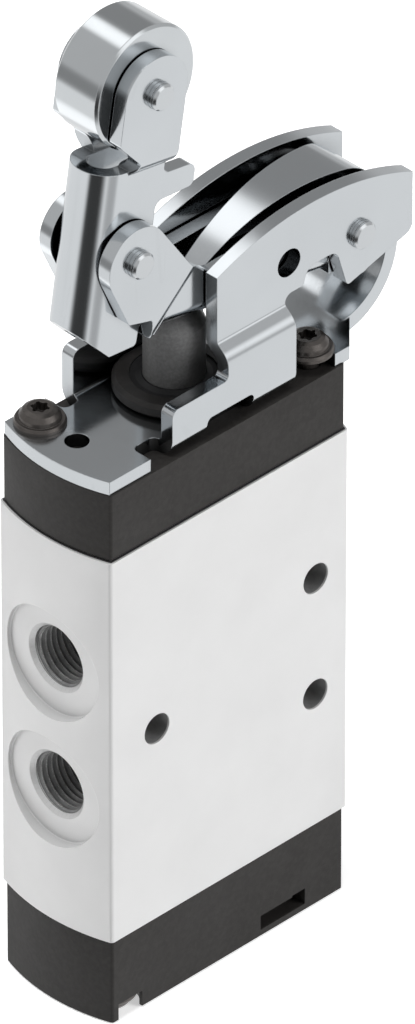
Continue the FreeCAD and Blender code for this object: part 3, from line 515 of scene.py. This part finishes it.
@dataclass(frozen=True)
class MouldedPlastic:
    """Moulded plastic or rubber with a fine spark-eroded grain."""

    name: str
    colour: Colour
    gloss: float
    grain_scale: float = 1700.0
    grain_depth: float = 0.035
    wear: float = 0.35
    sheen: float = 0.4
    edge_radius: float = 0.12
    speck_low: float = 0.88
    speck_high: float = 1.16
    rubbed: float = 2.4

    def make(self, shelf: GroupShelf) -> Material:
        """Build the material.

        Args:
            shelf: The shared shader groups.

        Returns:
            The material.
        """
        bench = MaterialBench(self.name, self.colour)
        bench.plain(metallic=0.0, roughness=self.gloss, specular_ior_level=self.sheen)
        grain = bench.use(shelf.grain, scale=self.grain_scale, mottle_scale=70.0)
        wear = bench.use(shelf.edges, radius=self.edge_radius * MM)
        speck = bench.spread(grain.outputs["Height"], 0.0, 1.0, 0.35, 0.7)
        tint = bench.blend(speck, scaled(self.colour, self.speck_low), scaled(self.colour, self.speck_high))
        rubbed = bench.spread(wear.outputs["Mask"], 0.0, self.wear, 0.0, 1.0)
        bench.feed("Base Color", bench.blend(rubbed, tint, scaled(self.colour, self.rubbed)))
        bench.feed("Roughness", bench.spread(grain.outputs["Mottle"], self.gloss - 0.06, self.gloss + 0.08))
        bench.bump(grain.outputs["Height"], 0.4, self.grain_depth, wear.outputs["Normal"])
        return bench.material


@dataclass(frozen=True)
class CoatedSteel:
    """Steel under a dark coating that is rubbed through at the edges."""

    name: str
    colour: Colour
    bare: Colour
    metal_share: float = 0.85
    gloss: float = 0.32
    gloss_low: float = 0.24
    gloss_high: float = 0.42
    edge_radius: float = 0.1
    mottled: float = 1.5

    def make(self, shelf: GroupShelf) -> Material:
        """Build the material.

        Args:
            shelf: The shared shader groups.

        Returns:
            The material.
        """
        bench = MaterialBench(self.name, self.colour)
        bench.plain(metallic=self.metal_share, roughness=self.gloss)
        grain = bench.use(shelf.grain, scale=2400.0, mottle_scale=240.0)
        wear = bench.use(shelf.edges, radius=self.edge_radius * MM, scale=700.0)
        mottle = bench.spread(grain.outputs["Mottle"], 0.0, 1.0)
        tint = bench.blend(mottle, self.colour, scaled(self.colour, self.mottled))
        rubbed = bench.spread(wear.outputs["Mask"], 0.0, 0.5, 0.0, 1.0)
        bench.feed("Base Color", bench.blend(rubbed, tint, self.bare))
        bench.feed("Roughness", bench.spread(grain.outputs["Mottle"], self.gloss_low, self.gloss_high))
        bench.bump(grain.outputs["Height"], 0.3, 0.01, wear.outputs["Normal"])
        return bench.material


class FinishRack:
    """Every finish of the valve, made once."""

    def __init__(self, shelf: GroupShelf) -> None:
        """Make the materials.

        Args:
            shelf: The shared shader groups.
        """
        recipes = {
            Slot.HOUSING: BlastedAluminium("anodised_body", (0.80, 0.80, 0.80)),
            Slot.CAP: MouldedPlastic("grained_cap", (0.0258, 0.0240, 0.0227), 0.52, 1500.0, 0.05, 0.12, 0.3),
            # shade and reach paint shade into the closed-in places of the sheet and the roller
            Slot.SHEET: BrightMetal("polished_sheet", (0.675, 0.705, 0.729), 0.11, 0.16, Axis.X,
                                    scratches=0.05, shade=0.78, reach=5.5),
            Slot.SCREW: CoatedSteel("dark_screw_coating", (0.100, 0.091, 0.085), (0.30, 0.29, 0.28)),
            Slot.GUIDE: MouldedPlastic("smooth_guide", (0.032, 0.030, 0.029), 0.34, 900.0, 0.01, 0.3),
            Slot.PUSH_ROD: MouldedPlastic("dark_push_rod", (0.18, 0.18, 0.18), 0.42, 2600.0, 0.004, 0.2),
            Slot.RUBBER: MouldedPlastic("nitrile_rubber", (0.02, 0.02, 0.021), 0.55, 1200.0, 0.02, 0.1),
            Slot.PIN: BrightMetal("turned_pin", (0.675, 0.70, 0.72), 0.10, 0.16, Axis.Y,
                                  1500.0, 0.0008, 0.0),
            Slot.ROLLER: BrightMetal("ground_roller", (0.68, 0.71, 0.73), 0.08, 0.13, Axis.Y,
                                     1300.0, 0.001, 0.05, shade=0.6, reach=4.0),
            Slot.SPOOL: BrightMetal("turned_spool", (0.70, 0.70, 0.68), 0.18, 0.28, Axis.X, 1200.0),
            Slot.CAGE: MouldedPlastic("natural_cage", (0.52, 0.49, 0.42), 0.40, 1100.0, 0.02, 0.1),
            Slot.SPRING: BrightMetal("drawn_wire", (0.55, 0.555, 0.56), 0.20, 0.32, Axis.Z, 1800.0),
        }
        self.made = {slot: recipe.make(shelf) for slot, recipe in recipes.items()}
        self.mouth = BrightMetal("bright_mouth", (0.80, 0.80, 0.80), 0.30, 0.38, Axis.Z,
                                 1500.0, 0.002).make(shelf)
        # painted highlight: the bright ribbon along the port thread's crest
        self.crest = MouldedPlastic("painted_crest_highlight", (0.95, 0.95, 0.95), 0.30,
                                    900.0, 0.004, 0.0, 0.5).make(shelf)
        # the polished sheet again for the frame, with stronger painted shade that reaches into its closed-in
        # loop
        self.frame_sheet_deep_shade = BrightMetal("polished_frame_deep_shade", (0.675, 0.705, 0.729), 0.11, 0.16, Axis.X,
                                       scratches=0.05, shade=0.85, reach=11.0).make(shelf)
        # painted shade: the port thread is painted dark grey
        self.thread = MouldedPlastic("shaded_thread", (0.24, 0.24, 0.24), 0.30,
                                     900.0, 0.004, 0.1, 0.5).make(shelf)
        # painted shade for the insides of the fixing holes, the port floors and the pin grooves
        self.painted_bore_shade = MouldedPlastic("shaded_bore", (0.25, 0.25, 0.25), 0.45,
                                        900.0, 0.01, 0.1, 0.3).make(shelf)

    def dress(self, piece: Object, slot: Slot, special: Material | None = None) -> None:
        """Give a piece its finish.

        Args:
            piece: The piece.
            slot: The slot whose finish it gets.
            special: A finish of its own, where it isn't the slot's.
        """
        piece.data.materials.clear()
        piece.data.materials.append(special or self.made[slot])


# Mesh helpers


def mark_sharp(shape: BMesh, limit: float) -> None:
    """Shade a mesh smooth except where it turns sharply.

    Args:
        shape: The mesh.
        limit: The turn in degrees from which an edge stays sharp.
    """
    for face in shape.faces:
        face.smooth = True
    for edge in shape.edges:
        edge.smooth = len(edge.link_faces) == 2 and edge.calc_face_angle(0.0) < math.radians(limit)


def object_from(shape: BMesh, name: str) -> Object:
    """Make a scene object from a mesh under construction.

    Args:
        shape: The mesh, which is freed.
        name: The object's name.

    Returns:
        The linked object.
    """
    mesh = bpy.data.meshes.new(name)
    shape.to_mesh(mesh)
    shape.free()
    piece = bpy.data.objects.new(name, mesh)
    bpy.context.scene.collection.objects.link(piece)
    return piece


def node_shape(node: str) -> BMesh:
    """Copy a CAD node's mesh, with its seams joined.

    Args:
        node: The CAD node.

    Returns:
        The mesh under construction.
    """
    shape = bmesh.new()
    shape.from_mesh(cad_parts[node].data)
    bmesh.ops.remove_doubles(shape, verts=shape.verts, dist=SEAM_GAP)
    return shape


def flat_groups(shape: BMesh) -> list[float]:
    """Measure the flat or the strip that each face belongs to.

    Args:
        shape: The mesh, with its faces numbered.

    Returns:
        For each face, the area of all the faces that lie in one plane with it.
    """
    areas = [0.0] * len(shape.faces)
    met = [False] * len(shape.faces)
    for first in shape.faces:
        if met[first.index]:
            continue
        group, queue = [], [first]
        met[first.index] = True
        while queue:
            face = queue.pop()
            group.append(face)
            for edge in face.edges:
                for other in edge.link_faces:
                    if not met[other.index] and other.normal.angle(face.normal, 1.0) < FLAT_TURN:
                        met[other.index] = True
                        queue.append(other)
        total = sum(face.calc_area() for face in group)
        for face in group:
            areas[face.index] = total
    return areas


def even_normals(mesh: Mesh, corner: float) -> None:
    """Give a mesh normals that keep flats flat, bends smooth and cut edges crisp.

    Args:
        mesh: The mesh.
        corner: The angle in degrees from which two faces don't blend.
    """
    shape = bmesh.new()
    shape.from_mesh(mesh)
    shape.faces.ensure_lookup_table()
    shape.faces.index_update()
    weights = [area * area for area in flat_groups(shape)]
    limit = math.radians(corner)
    normals = []
    for face in shape.faces:
        for loop in face.loops:
            total = Vector()
            for other in loop.vert.link_faces:
                if other.normal.angle(face.normal, 3.0) < limit:
                    total += other.normal * weights[other.index]
            normals.append(total.normalized() if total.length > 0 else face.normal.copy())
    shape.free()
    mesh.shade_smooth()
    mesh.normals_split_custom_set(normals)


def even_copy(node: str, body: Body) -> Object:
    """Copy a CAD node with even flats, smooth bends and crisp cut edges.

    Args:
        node: The CAD node.
        body: The body that carries it.

    Returns:
        The copy, which stands for the node.
    """
    piece = object_from(node_shape(node), node + "_even")
    even_normals(piece.data, SMOOTH_TURN)
    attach(piece, body.value)
    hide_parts(node)
    return piece


def lathe(profile: list[tuple[float, float]], name: str, steps: int) -> Object:
    """Turn a profile about Z.

    Args:
        profile: Pairs of radius and height in millimetres.
        name: The object's name.
        steps: The number of steps round the axis.

    Returns:
        The turned object, an open sleeve.
    """
    shape = bmesh.new()
    rings = []
    for k in range(steps + 1):
        turn = 2 * math.pi * k / steps
        rings.append([shape.verts.new((r * MM * math.cos(turn), r * MM * math.sin(turn), z * MM))
                      for r, z in profile])
    for here, there in zip(rings, rings[1:]):
        for a, b, c, d in zip(here, there, there[1:], here[1:]):
            shape.faces.new((a, b, c, d))
    bmesh.ops.remove_doubles(shape, verts=shape.verts, dist=LATHE_GAP)
    mark_sharp(shape, LATHE_TURN)
    return object_from(shape, name)


def into_port(reach: float, hand: int, level: float) -> Matrix:
    """Lead a piece that was made along Z into a port.

    Args:
        reach: How far from the valve's middle the piece starts, in millimetres.
        hand: 1 for a port on the rear face, -1 for one on the front face.
        level: The port's height in millimetres.

    Returns:
        The piece's place.
    """
    turn = Matrix.Rotation(math.radians(-90 * hand), 4, "Y")
    return Matrix.Translation((reach * hand * MM, 0.0, level * MM)) @ turn


@dataclass
class PortThread:
    """The cut thread inside one port, painted dark as shade, with a painted highlight along its crest."""

    name: str
    level: float
    hand: int
    outer: float = 4.29
    depth: float = 0.36
    pitch: float = 0.907
    face_x: float = 21.0
    start: float = 0.55
    turns: int = 7
    around: int = 72
    along: int = 12
    sharpness: float = 1.5
    crest_half: float = 0.1
    crest_lift: float = 0.006

    def radius(self, share: float, level: float) -> float:
        """Return the thread's radius.

        Args:
            share: The angle round the port, as a share of one turn.
            level: The depth into the port, in turns.

        Returns:
            The radius in millimetres.
        """
        crest = (0.5 - 0.5 * math.cos(2 * math.pi * (level - share))) ** self.sharpness
        fade = min(1.0, 2 * level, 2 * (self.turns - level))
        return self.outer - self.depth * crest * fade

    def point(self, share: float, level: float, lift: float = 0.0) -> tuple[float, float, float]:
        """Return a point of the thread in metres.

        Args:
            share: The angle round the port, as a share of one turn.
            level: The depth into the port, in turns.
            lift: How far the point stands off the thread, in millimetres.

        Returns:
            The point, with the port's axis along Z.
        """
        angle = 2 * math.pi * share
        radius = (self.radius(share, level) - lift) * MM
        return radius * math.cos(angle), radius * math.sin(angle), level * self.pitch * MM

    def skin(self) -> Object:
        """Make the thread's whole surface, which closes on itself all round.

        Returns:
            The surface, with the port's axis along Z.
        """
        shape = bmesh.new()
        rows = [[shape.verts.new(self.point(turn / self.around, row / self.along))
                 for turn in range(self.around)] for row in range(self.turns * self.along + 1)]
        for low, high in zip(rows, rows[1:]):
            for turn in range(self.around):
                after = (turn + 1) % self.around
                shape.faces.new((low[turn], high[turn], high[after], low[after]))
        for face in shape.faces:
            face.smooth = True
        return object_from(shape, self.name)

    def crest(self) -> Object:
        """Make the narrow ribbon, painted bright as a highlight, that follows the crest.

        Returns:
            The ribbon, with the port's axis along Z.
        """
        shape = bmesh.new()
        half = self.crest_half / self.pitch
        rows = []
        for turn in range(self.around * (self.turns - 1) + 1):
            share = turn / self.around
            rows.append([shape.verts.new(self.point(share, 0.5 + share + side * half, self.crest_lift))
                         for side in (-1, 0, 1)])
        for here, there in zip(rows, rows[1:]):
            for k in range(2):
                shape.faces.new((here[k], here[k + 1], there[k + 1], there[k]))
        for face in shape.faces:
            face.smooth = True
        return object_from(shape, self.name + "_crest")

    def build(self, rack: FinishRack) -> None:
        """Make the thread, painted dark as shade, and its painted crest highlight, and set them in the port.

        Args:
            rack: The finishes.
        """
        place = into_port(self.face_x - self.start, self.hand, self.level)
        for piece, finish in ((self.skin(), rack.thread), (self.crest(), rack.crest)):
            piece.matrix_world = place
            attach(piece, Body.VALVE.value)
            rack.dress(piece, Slot.HOUSING, finish)


@dataclass
class PortMouth:
    """The bright countersunk cone and the drilled floor, painted dark as shade, of one port."""

    name: str
    level: float
    hand: int
    outer: float = 4.9
    inner: float = 4.3
    cone: float = 0.6
    depth: float = 7.96
    duct: float = 2.5
    skin: float = 0.02
    face_x: float = 21.0
    spot: float = 8.2
    fillet_r: float = 0.16
    fillet_steps: int = 6
    lead_in: float = 0.35
    floor_wall: float = 0.6
    steps: int = 96

    def fillet(self) -> list[tuple[float, float]]:
        """Return the small cutter's round at the foot of the spot face's wall.

        Returns:
            Pairs of radius and height in millimetres.
        """
        centre = self.spot - self.fillet_r
        turns = [math.radians(90 * k / self.fillet_steps) for k in range(self.fillet_steps + 1)]
        return [(centre + self.fillet_r * math.cos(t), (math.sin(t) - 1) * self.fillet_r - self.skin)
                for t in turns]

    def build(self, rack: FinishRack) -> None:
        """Make the cone, the floor and the fillet and set them in the port.

        Args:
            rack: The finishes.
        """
        bore = self.inner - self.skin
        skins = {
            "cone": [(self.outer - self.skin, self.skin), (bore, self.cone + self.skin),
                     (bore, self.cone + self.lead_in)],
            "floor": [(bore, self.depth - self.floor_wall), (bore, self.depth), (self.duct, self.depth)],
            "fillet": self.fillet(),
        }
        # the floor is painted dark as shade
        finishes = {"cone": rack.mouth, "floor": rack.painted_bore_shade, "fillet": None}
        place = into_port(self.face_x, self.hand, self.level)
        for part, profile in skins.items():
            piece = lathe(profile, f"{self.name}_{part}", self.steps)
            for face in piece.data.polygons:
                face.flip()
            piece.matrix_world = place
            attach(piece, Body.VALVE.value)
            rack.dress(piece, Slot.HOUSING, finishes[part])


@dataclass
class BoreShade:
    """A sleeve inside a through hole, painted darker than the anodised faces as shade."""

    name: str
    place: tuple[float, float]
    radius: float = 2.19
    half_length: float = 9.7

    def build(self, rack: FinishRack) -> None:
        """Make the painted shade sleeve and set it in its hole.

        Args:
            rack: The finishes.
        """
        ends = [(self.radius, -self.half_length), (self.radius, 0.0), (self.radius, self.half_length)]
        piece = lathe(ends, self.name, ROUND_STEPS)
        for face in piece.data.polygons:
            face.flip()
        turn = Matrix.Rotation(math.radians(90), 4, "X")
        piece.matrix_world = Matrix.Translation((self.place[0] * MM, 0.0, self.place[1] * MM)) @ turn
        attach(piece, Body.VALVE.value)
        rack.dress(piece, Slot.HOUSING, rack.painted_bore_shade)


@dataclass
class DarkLedgeStrip:
    """A thin dark strip, dressed as rubber, on the body's ledge round the cap's foot, which darkens the seam
    there.
    """

    name: str = "top_ledge_dark_strip"
    half_length: float = 21.0
    half_width: float = 10.0
    bulge: float = 1.7
    level: float = 72.0
    height: float = 0.13
    outer: float = 0.27
    inner: float = 0.5
    foot: float = 0.01
    steps: int = 24
    corner: float = 40.0

    def ring(self, inset: float) -> list[tuple[float, float]]:
        """Return the body's outline, drawn in all round.

        Args:
            inset: How far it is drawn in, in millimetres.

        Returns:
            The outline's points in order, in millimetres.
        """
        half_l = self.half_length - inset
        half_w = self.half_width - inset
        radius = (half_w ** 2 + self.bulge ** 2) / (2 * self.bulge)
        centre = half_l + self.bulge - radius
        sweep = math.asin(half_w / radius)
        turns = [sweep * (2 * k / self.steps - 1) for k in range(self.steps + 1)]
        rear = [(centre + radius * math.cos(t), radius * math.sin(t)) for t in turns]
        return rear + [(-x, -y) for x, y in rear]

    def build(self, rack: FinishRack) -> None:
        """Make the strip's outer wall and top.

        Args:
            rack: The finishes.
        """
        shape = bmesh.new()
        rows = []
        edges = ((self.outer, self.foot), (self.outer, self.height), (self.inner, self.height))
        for inset, rise in edges:
            z = (self.level + rise) * MM
            rows.append([shape.verts.new((x * MM, y * MM, z)) for x, y in self.ring(inset)])
        for low, high in zip(rows, rows[1:]):
            for k in range(len(low)):
                after = (k + 1) % len(low)
                shape.faces.new((low[k], low[after], high[after], high[k]))
        mark_sharp(shape, self.corner)
        piece = object_from(shape, self.name)
        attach(piece, Body.VALVE.value)
        rack.dress(piece, Slot.RUBBER)


@dataclass
class ValveBodySet:
    """The body, its caps and gaskets, and the five threaded ports."""

    middle_z: float = 42.7
    half_pitch: float = 9.85
    holes: tuple[tuple[float, float], ...] = ((-13.0, 42.6), (15.3, 33.55), (15.3, 51.65))
    nodes: dict[str, Slot] = field(default_factory=lambda: {
        "top_gasket": Slot.RUBBER, "bottom_gasket": Slot.RUBBER})

    def build(self, rack: FinishRack) -> None:
        """Even out and dress the body, and thread its ports.

        Args:
            rack: The finishes.
        """
        rack.dress(even_copy("valve_housing", Body.VALVE), Slot.HOUSING)
        for cap in ("top_cap", "bottom_cap"):
            rack.dress(even_copy(cap, Body.VALVE), Slot.CAP)
        for node, slot in self.nodes.items():
            rack.dress(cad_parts[node], slot)
        DarkLedgeStrip().build(rack)
        for step in range(-2, 3):
            level = self.middle_z + step * self.half_pitch
            hand = 1 if step % 2 == 0 else -1
            PortThread(f"port_thread_{step + 3}", level, hand).build(rack)
            PortMouth(f"port_mouth_{step + 3}", level, hand).build(rack)
        for count, place in enumerate(self.holes, 1):
            BoreShade(f"fixing_hole_shade_{count}", place).build(rack)
        LOG.info("valve body, caps, gaskets and port threads are built")


@dataclass
class PinGrooveShades:
    """A dark line painted as the shade in the fine groove that runs round each free end of a pin."""

    node: str
    body: Body
    from_end: float = 0.62
    width: float = 0.09
    proud: float = 0.012

    def build(self, rack: FinishRack) -> None:
        """Make the groove's painted shade line at both ends of the pin.

        Args:
            rack: The finishes.
        """
        low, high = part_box(self.node)
        middle = (low + high) / 2
        radius = (high.z - low.z) / 2 / MM + self.proud
        for side, end_y, hand in (("near", low.y, 1), ("far", high.y, -1)):
            line = [(radius, -self.width / 2), (radius, self.width / 2)]
            piece = lathe(line, f"{self.node}_groove_{side}", ROUND_STEPS)
            turn = Matrix.Rotation(math.radians(90), 4, "X")
            place = Matrix.Translation((middle.x, end_y + self.from_end * hand * MM, middle.z))
            piece.matrix_world = place @ turn
            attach(piece, self.body.value)
            rack.dress(piece, Slot.PIN, rack.painted_bore_shade)


@dataclass
class FrameSet:
    """The polished sheet frame with its screws, guide ring and pin."""

    screws: tuple[str, ...] = ("frame_screws", "bottom_screws")

    def build(self, rack: FinishRack) -> None:
        """Even out and dress the frame's pieces.

        Args:
            rack: The finishes.
        """
        rack.dress(even_copy("actuator_frame", Body.VALVE), Slot.SHEET, rack.frame_sheet_deep_shade)
        rack.dress(even_copy("lever_pivot_pin", Body.VALVE), Slot.PIN)
        rack.dress(even_copy("guide_ring", Body.VALVE), Slot.GUIDE)
        PinGrooveShades("lever_pivot_pin", Body.VALVE).build(rack)
        rack.dress(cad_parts["wiper_seal"], Slot.RUBBER)
        for node in self.screws:
            rack.dress(even_copy(node, Body.VALVE), Slot.SCREW)
        LOG.info("actuator frame, screws, guide ring and pivot pin are built")


@dataclass
class LeverSet:
    """The lever channel, its bracket pin, the bracket and the roller."""

    carried: dict[str, tuple[Body, Slot]] = field(default_factory=lambda: {
        "lever": (Body.LEVER, Slot.SHEET), "bracket_pin": (Body.LEVER, Slot.PIN),
        "roller_bracket": (Body.BRACKET, Slot.SHEET), "roller_pin": (Body.BRACKET, Slot.PIN),
        "bracket_spring": (Body.BRACKET, Slot.SPRING), "roller": (Body.ROLLER, Slot.ROLLER)})

    def build(self, rack: FinishRack) -> None:
        """Even out and dress the lever, the bracket and the roller.

        Args:
            rack: The finishes.
        """
        for node, (body, slot) in self.carried.items():
            rack.dress(even_copy(node, body), slot)
        PinGrooveShades("bracket_pin", Body.LEVER).build(rack)
        PinGrooveShades("roller_pin", Body.BRACKET).build(rack)
        LOG.info("lever, bracket and roller are built")


@dataclass
class SpoolSet:
    """The plunger, and the spool with its seals, cage and spring inside the body."""

    inner: dict[str, Slot] = field(default_factory=lambda: {
        "spool": Slot.SPOOL, "spool_seals": Slot.RUBBER, "cage_spacers": Slot.CAGE,
        "end_spacers": Slot.CAGE, "return_spring": Slot.SPRING})

    def build(self, rack: FinishRack) -> None:
        """Dress the plunger and the inner pieces.

        Args:
            rack: The finishes.
        """
        rack.dress(even_copy("plunger", Body.PUSH_ROD), Slot.PUSH_ROD)
        for node, slot in self.inner.items():
            rack.dress(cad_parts[node], slot)
        LOG.info("plunger and spool are built")


@dataclass(frozen=True)
class StudioPatch:
    """A soft patch of the studio's surroundings, as seen in polished metal."""

    towards: tuple[float, float, float]
    inner: float
    outer: float
    level: float


@dataclass(frozen=True)
class StudioLamp:
    """A square soft lamp: its place and side in millimetres and its power in watts."""

    name: str
    place: tuple[float, float, float]
    width: float
    power: float


@dataclass
class Studio:
    """The pale floor, the surroundings, the lamps and the camera."""

    floor_half: float = 6000.0
    floor_shade: float = 0.93
    floor_roughness: float = 0.9
    floor_lift: float = 0.5
    floor_drop: float = 0.2
    soft_level: float = 0.18
    upper_level: float = 0.54
    lower_level: float = 0.90
    horizon_low: float = -0.18
    horizon_high: float = 0.02
    camera_side: StudioPatch = StudioPatch((-0.71, -0.71, 0.1), 20.0, 75.0, 0.02)
    patches: tuple[StudioPatch, ...] = (
        StudioPatch((0.62, 0.55, 0.56), 15.0, 27.0, 0.30),
        StudioPatch((0.065, 0.58, 0.81), 2.0, 14.5, 1.45),
        StudioPatch((-0.211, 0.58, -0.787), 4.0, 18.0, 1.40),
        StudioPatch((-0.811, 0.58, -0.075), 3.0, 16.0, 0.29),
        StudioPatch((-0.795, -0.48, -0.365), 12.0, 35.0, 0.05),
        StudioPatch((0.0, -0.93, -0.36), 6.0, 24.0, 0.50),
        StudioPatch((0.25, -0.85, 0.45), 16.0, 30.0, 1.30),
    )
    lamps: tuple[StudioLamp, ...] = (
        StudioLamp("key_lamp", (800.0, -1600.0, 800.0), 900.0, 23.7),
        StudioLamp("side_lamp", (-1500.0, 850.0, 700.0), 800.0, 6.0),
        StudioLamp("top_lamp", (-300.0, 100.0, 2300.0), 1100.0, 40.0),
    )
    camera_distance: float = 2450.0
    camera_lens: float = 674.132
    camera_azimuth: float = 44.7703
    camera_elevation: float = 35.3983
    camera_across: float = 4.1854
    camera_rise: float = 42.0695
    body_base: float = 13.0
    lamp_aim: float = 70.0

    def surroundings(self) -> None:
        """Build the world: white to the camera, and soft patches of light and dark for all else."""
        world = bpy.data.worlds.new("studio_world")
        bpy.context.scene.world = world
        world.use_nodes = True
        tree = world.node_tree
        direction = tree.nodes.new("ShaderNodeTexCoord").outputs["Generated"]
        split = tree.nodes.new("ShaderNodeSeparateXYZ")
        tree.links.new(direction, split.inputs["Vector"])
        horizon = tree.nodes.new("ShaderNodeMapRange")
        horizon.interpolation_type = "SMOOTHSTEP"
        horizon.inputs["From Min"].default_value = self.horizon_low
        horizon.inputs["From Max"].default_value = self.horizon_high
        horizon.inputs["To Min"].default_value = self.lower_level
        horizon.inputs["To Max"].default_value = self.upper_level
        tree.links.new(split.outputs["Z"], horizon.inputs["Value"])
        level = horizon.outputs["Result"]
        for patch in self.patches:
            level = self.patch(tree, direction, level, patch)
        path = tree.nodes.new("ShaderNodeLightPath")
        mirrored = number(tree, "MAXIMUM", path.outputs["Is Glossy Ray"],
                          path.outputs["Is Transmission Ray"])
        shown = tree.nodes.new("ShaderNodeMix")
        tree.links.new(mirrored, shown.inputs["Factor"])
        soft = tree.nodes.new("ShaderNodeValue").outputs[0]
        soft.default_value = self.soft_level
        dimmed = self.patch(tree, direction, soft, self.camera_side)
        tree.links.new(dimmed, shown.inputs["A"])
        tree.links.new(level, shown.inputs["B"])
        mix = tree.nodes.new("ShaderNodeMix")
        tree.links.new(path.outputs["Is Camera Ray"], mix.inputs["Factor"])
        tree.links.new(shown.outputs["Result"], mix.inputs["A"])
        mix.inputs["B"].default_value = 1.0
        background = tree.nodes["Background"]
        background.inputs["Color"].default_value = (1.0, 1.0, 1.0, 1.0)
        tree.links.new(mix.outputs["Result"], background.inputs["Strength"])

    def patch(self, tree: NodeTree, direction: NodeSocket, level: NodeSocket,
              patch: StudioPatch) -> NodeSocket:
        """Lay one soft patch over the surroundings.

        Args:
            tree: The world's node tree.
            direction: The direction's socket.
            level: The brightness so far.
            patch: The patch to lay.

        Returns:
            The brightness with the patch.
        """
        dot = tree.nodes.new("ShaderNodeVectorMath")
        dot.operation = "DOT_PRODUCT"
        tree.links.new(direction, dot.inputs[0])
        dot.inputs[1].default_value = Vector(patch.towards).normalized()
        share = tree.nodes.new("ShaderNodeMapRange")
        share.interpolation_type = "SMOOTHSTEP"
        share.inputs["From Min"].default_value = math.cos(math.radians(patch.outer))
        share.inputs["From Max"].default_value = math.cos(math.radians(patch.inner))
        tree.links.new(dot.outputs["Value"], share.inputs["Value"])
        mix = tree.nodes.new("ShaderNodeMix")
        tree.links.new(share.outputs["Result"], mix.inputs["Factor"])
        tree.links.new(level, mix.inputs["A"])
        mix.inputs["B"].default_value = patch.level
        return mix.outputs["Result"]

    def floor(self) -> None:
        """Lay the pale floor, which keeps the valve's shadow."""
        shape = bmesh.new()
        bmesh.ops.create_grid(shape, x_segments=8, y_segments=8, size=self.floor_half * MM)
        ground = object_from(shape, "studio_floor")
        ground.location.z = -self.floor_drop * MM
        material = bpy.data.materials.new("pale_floor")
        material.use_nodes = True
        tree = material.node_tree
        shader = tree.nodes["Principled BSDF"]
        shader.inputs["Base Color"].default_value = (*[self.floor_shade] * 3, 1.0)
        shader.inputs["Roughness"].default_value = self.floor_roughness
        glow = tree.nodes.new("ShaderNodeEmission")
        path = tree.nodes.new("ShaderNodeLightPath")
        mirrored = number(tree, "MAXIMUM", path.outputs["Is Glossy Ray"],
                          path.outputs["Is Transmission Ray"])
        seen = number(tree, "MAXIMUM", path.outputs["Is Camera Ray"], mirrored)
        tree.links.new(number(tree, "MULTIPLY", seen, self.floor_lift), glow.inputs["Strength"])
        both = tree.nodes.new("ShaderNodeAddShader")
        tree.links.new(shader.outputs[0], both.inputs[0])
        tree.links.new(glow.outputs[0], both.inputs[1])
        tree.links.new(both.outputs[0], tree.nodes["Material Output"].inputs["Surface"])
        ground.data.materials.append(material)
        ground.visible_glossy = False

    def hang(self, lamp: StudioLamp) -> None:
        """Hang a lamp that faces the valve.

        Args:
            lamp: The lamp.
        """
        light = bpy.data.lights.new(lamp.name, "AREA")
        light.size = lamp.width * MM
        light.energy = lamp.power
        holder = bpy.data.objects.new(lamp.name, light)
        holder.location = Vector(lamp.place) * MM
        aim = Vector((0.0, 0.0, self.lamp_aim)) * MM - holder.location
        holder.rotation_euler = aim.to_track_quat("-Z", "Y").to_euler()
        holder.visible_glossy = False
        bpy.context.scene.collection.objects.link(holder)

    def camera(self) -> None:
        """Set the camera where the photograph was taken from."""
        a, e = math.radians(self.camera_azimuth), math.radians(self.camera_elevation)
        right = Vector((math.cos(a), -math.sin(a), 0.0))
        back = Vector((-math.sin(a) * math.cos(e), -math.cos(a) * math.cos(e), math.sin(e)))
        up = back.cross(right)
        data = bpy.data.cameras.new("photo_camera")
        data.sensor_width = 36.0
        data.lens = self.camera_lens
        data.clip_start, data.clip_end = 0.1, 60.0
        holder = bpy.data.objects.new("photo_camera", data)
        target = right * self.camera_across + up * self.camera_rise + Vector((0.0, 0.0, self.body_base))
        turn = Matrix((right, up, back)).transposed().to_4x4()
        holder.matrix_world = Matrix.Translation((target + back * self.camera_distance) * MM) @ turn
        bpy.context.scene.collection.objects.link(holder)
        bpy.context.scene.camera = holder

    def build(self) -> None:
        """Build the whole studio."""
        self.surroundings()
        self.floor()
        for lamp in self.lamps:
            self.hang(lamp)
        self.camera()
        bpy.context.scene.view_settings.view_transform = "Standard"
        LOG.info("studio is built")


def main() -> None:
    """Build the finishes, every sub-assembly and the studio, in order."""
    logging.basicConfig(level=logging.INFO)
    rack = FinishRack(GroupShelf())
    for part in (ValveBodySet(), FrameSet(), LeverSet(), SpoolSet()):
        part.build(rack)
    Studio().build()


if __name__ == "__main__":
    main()
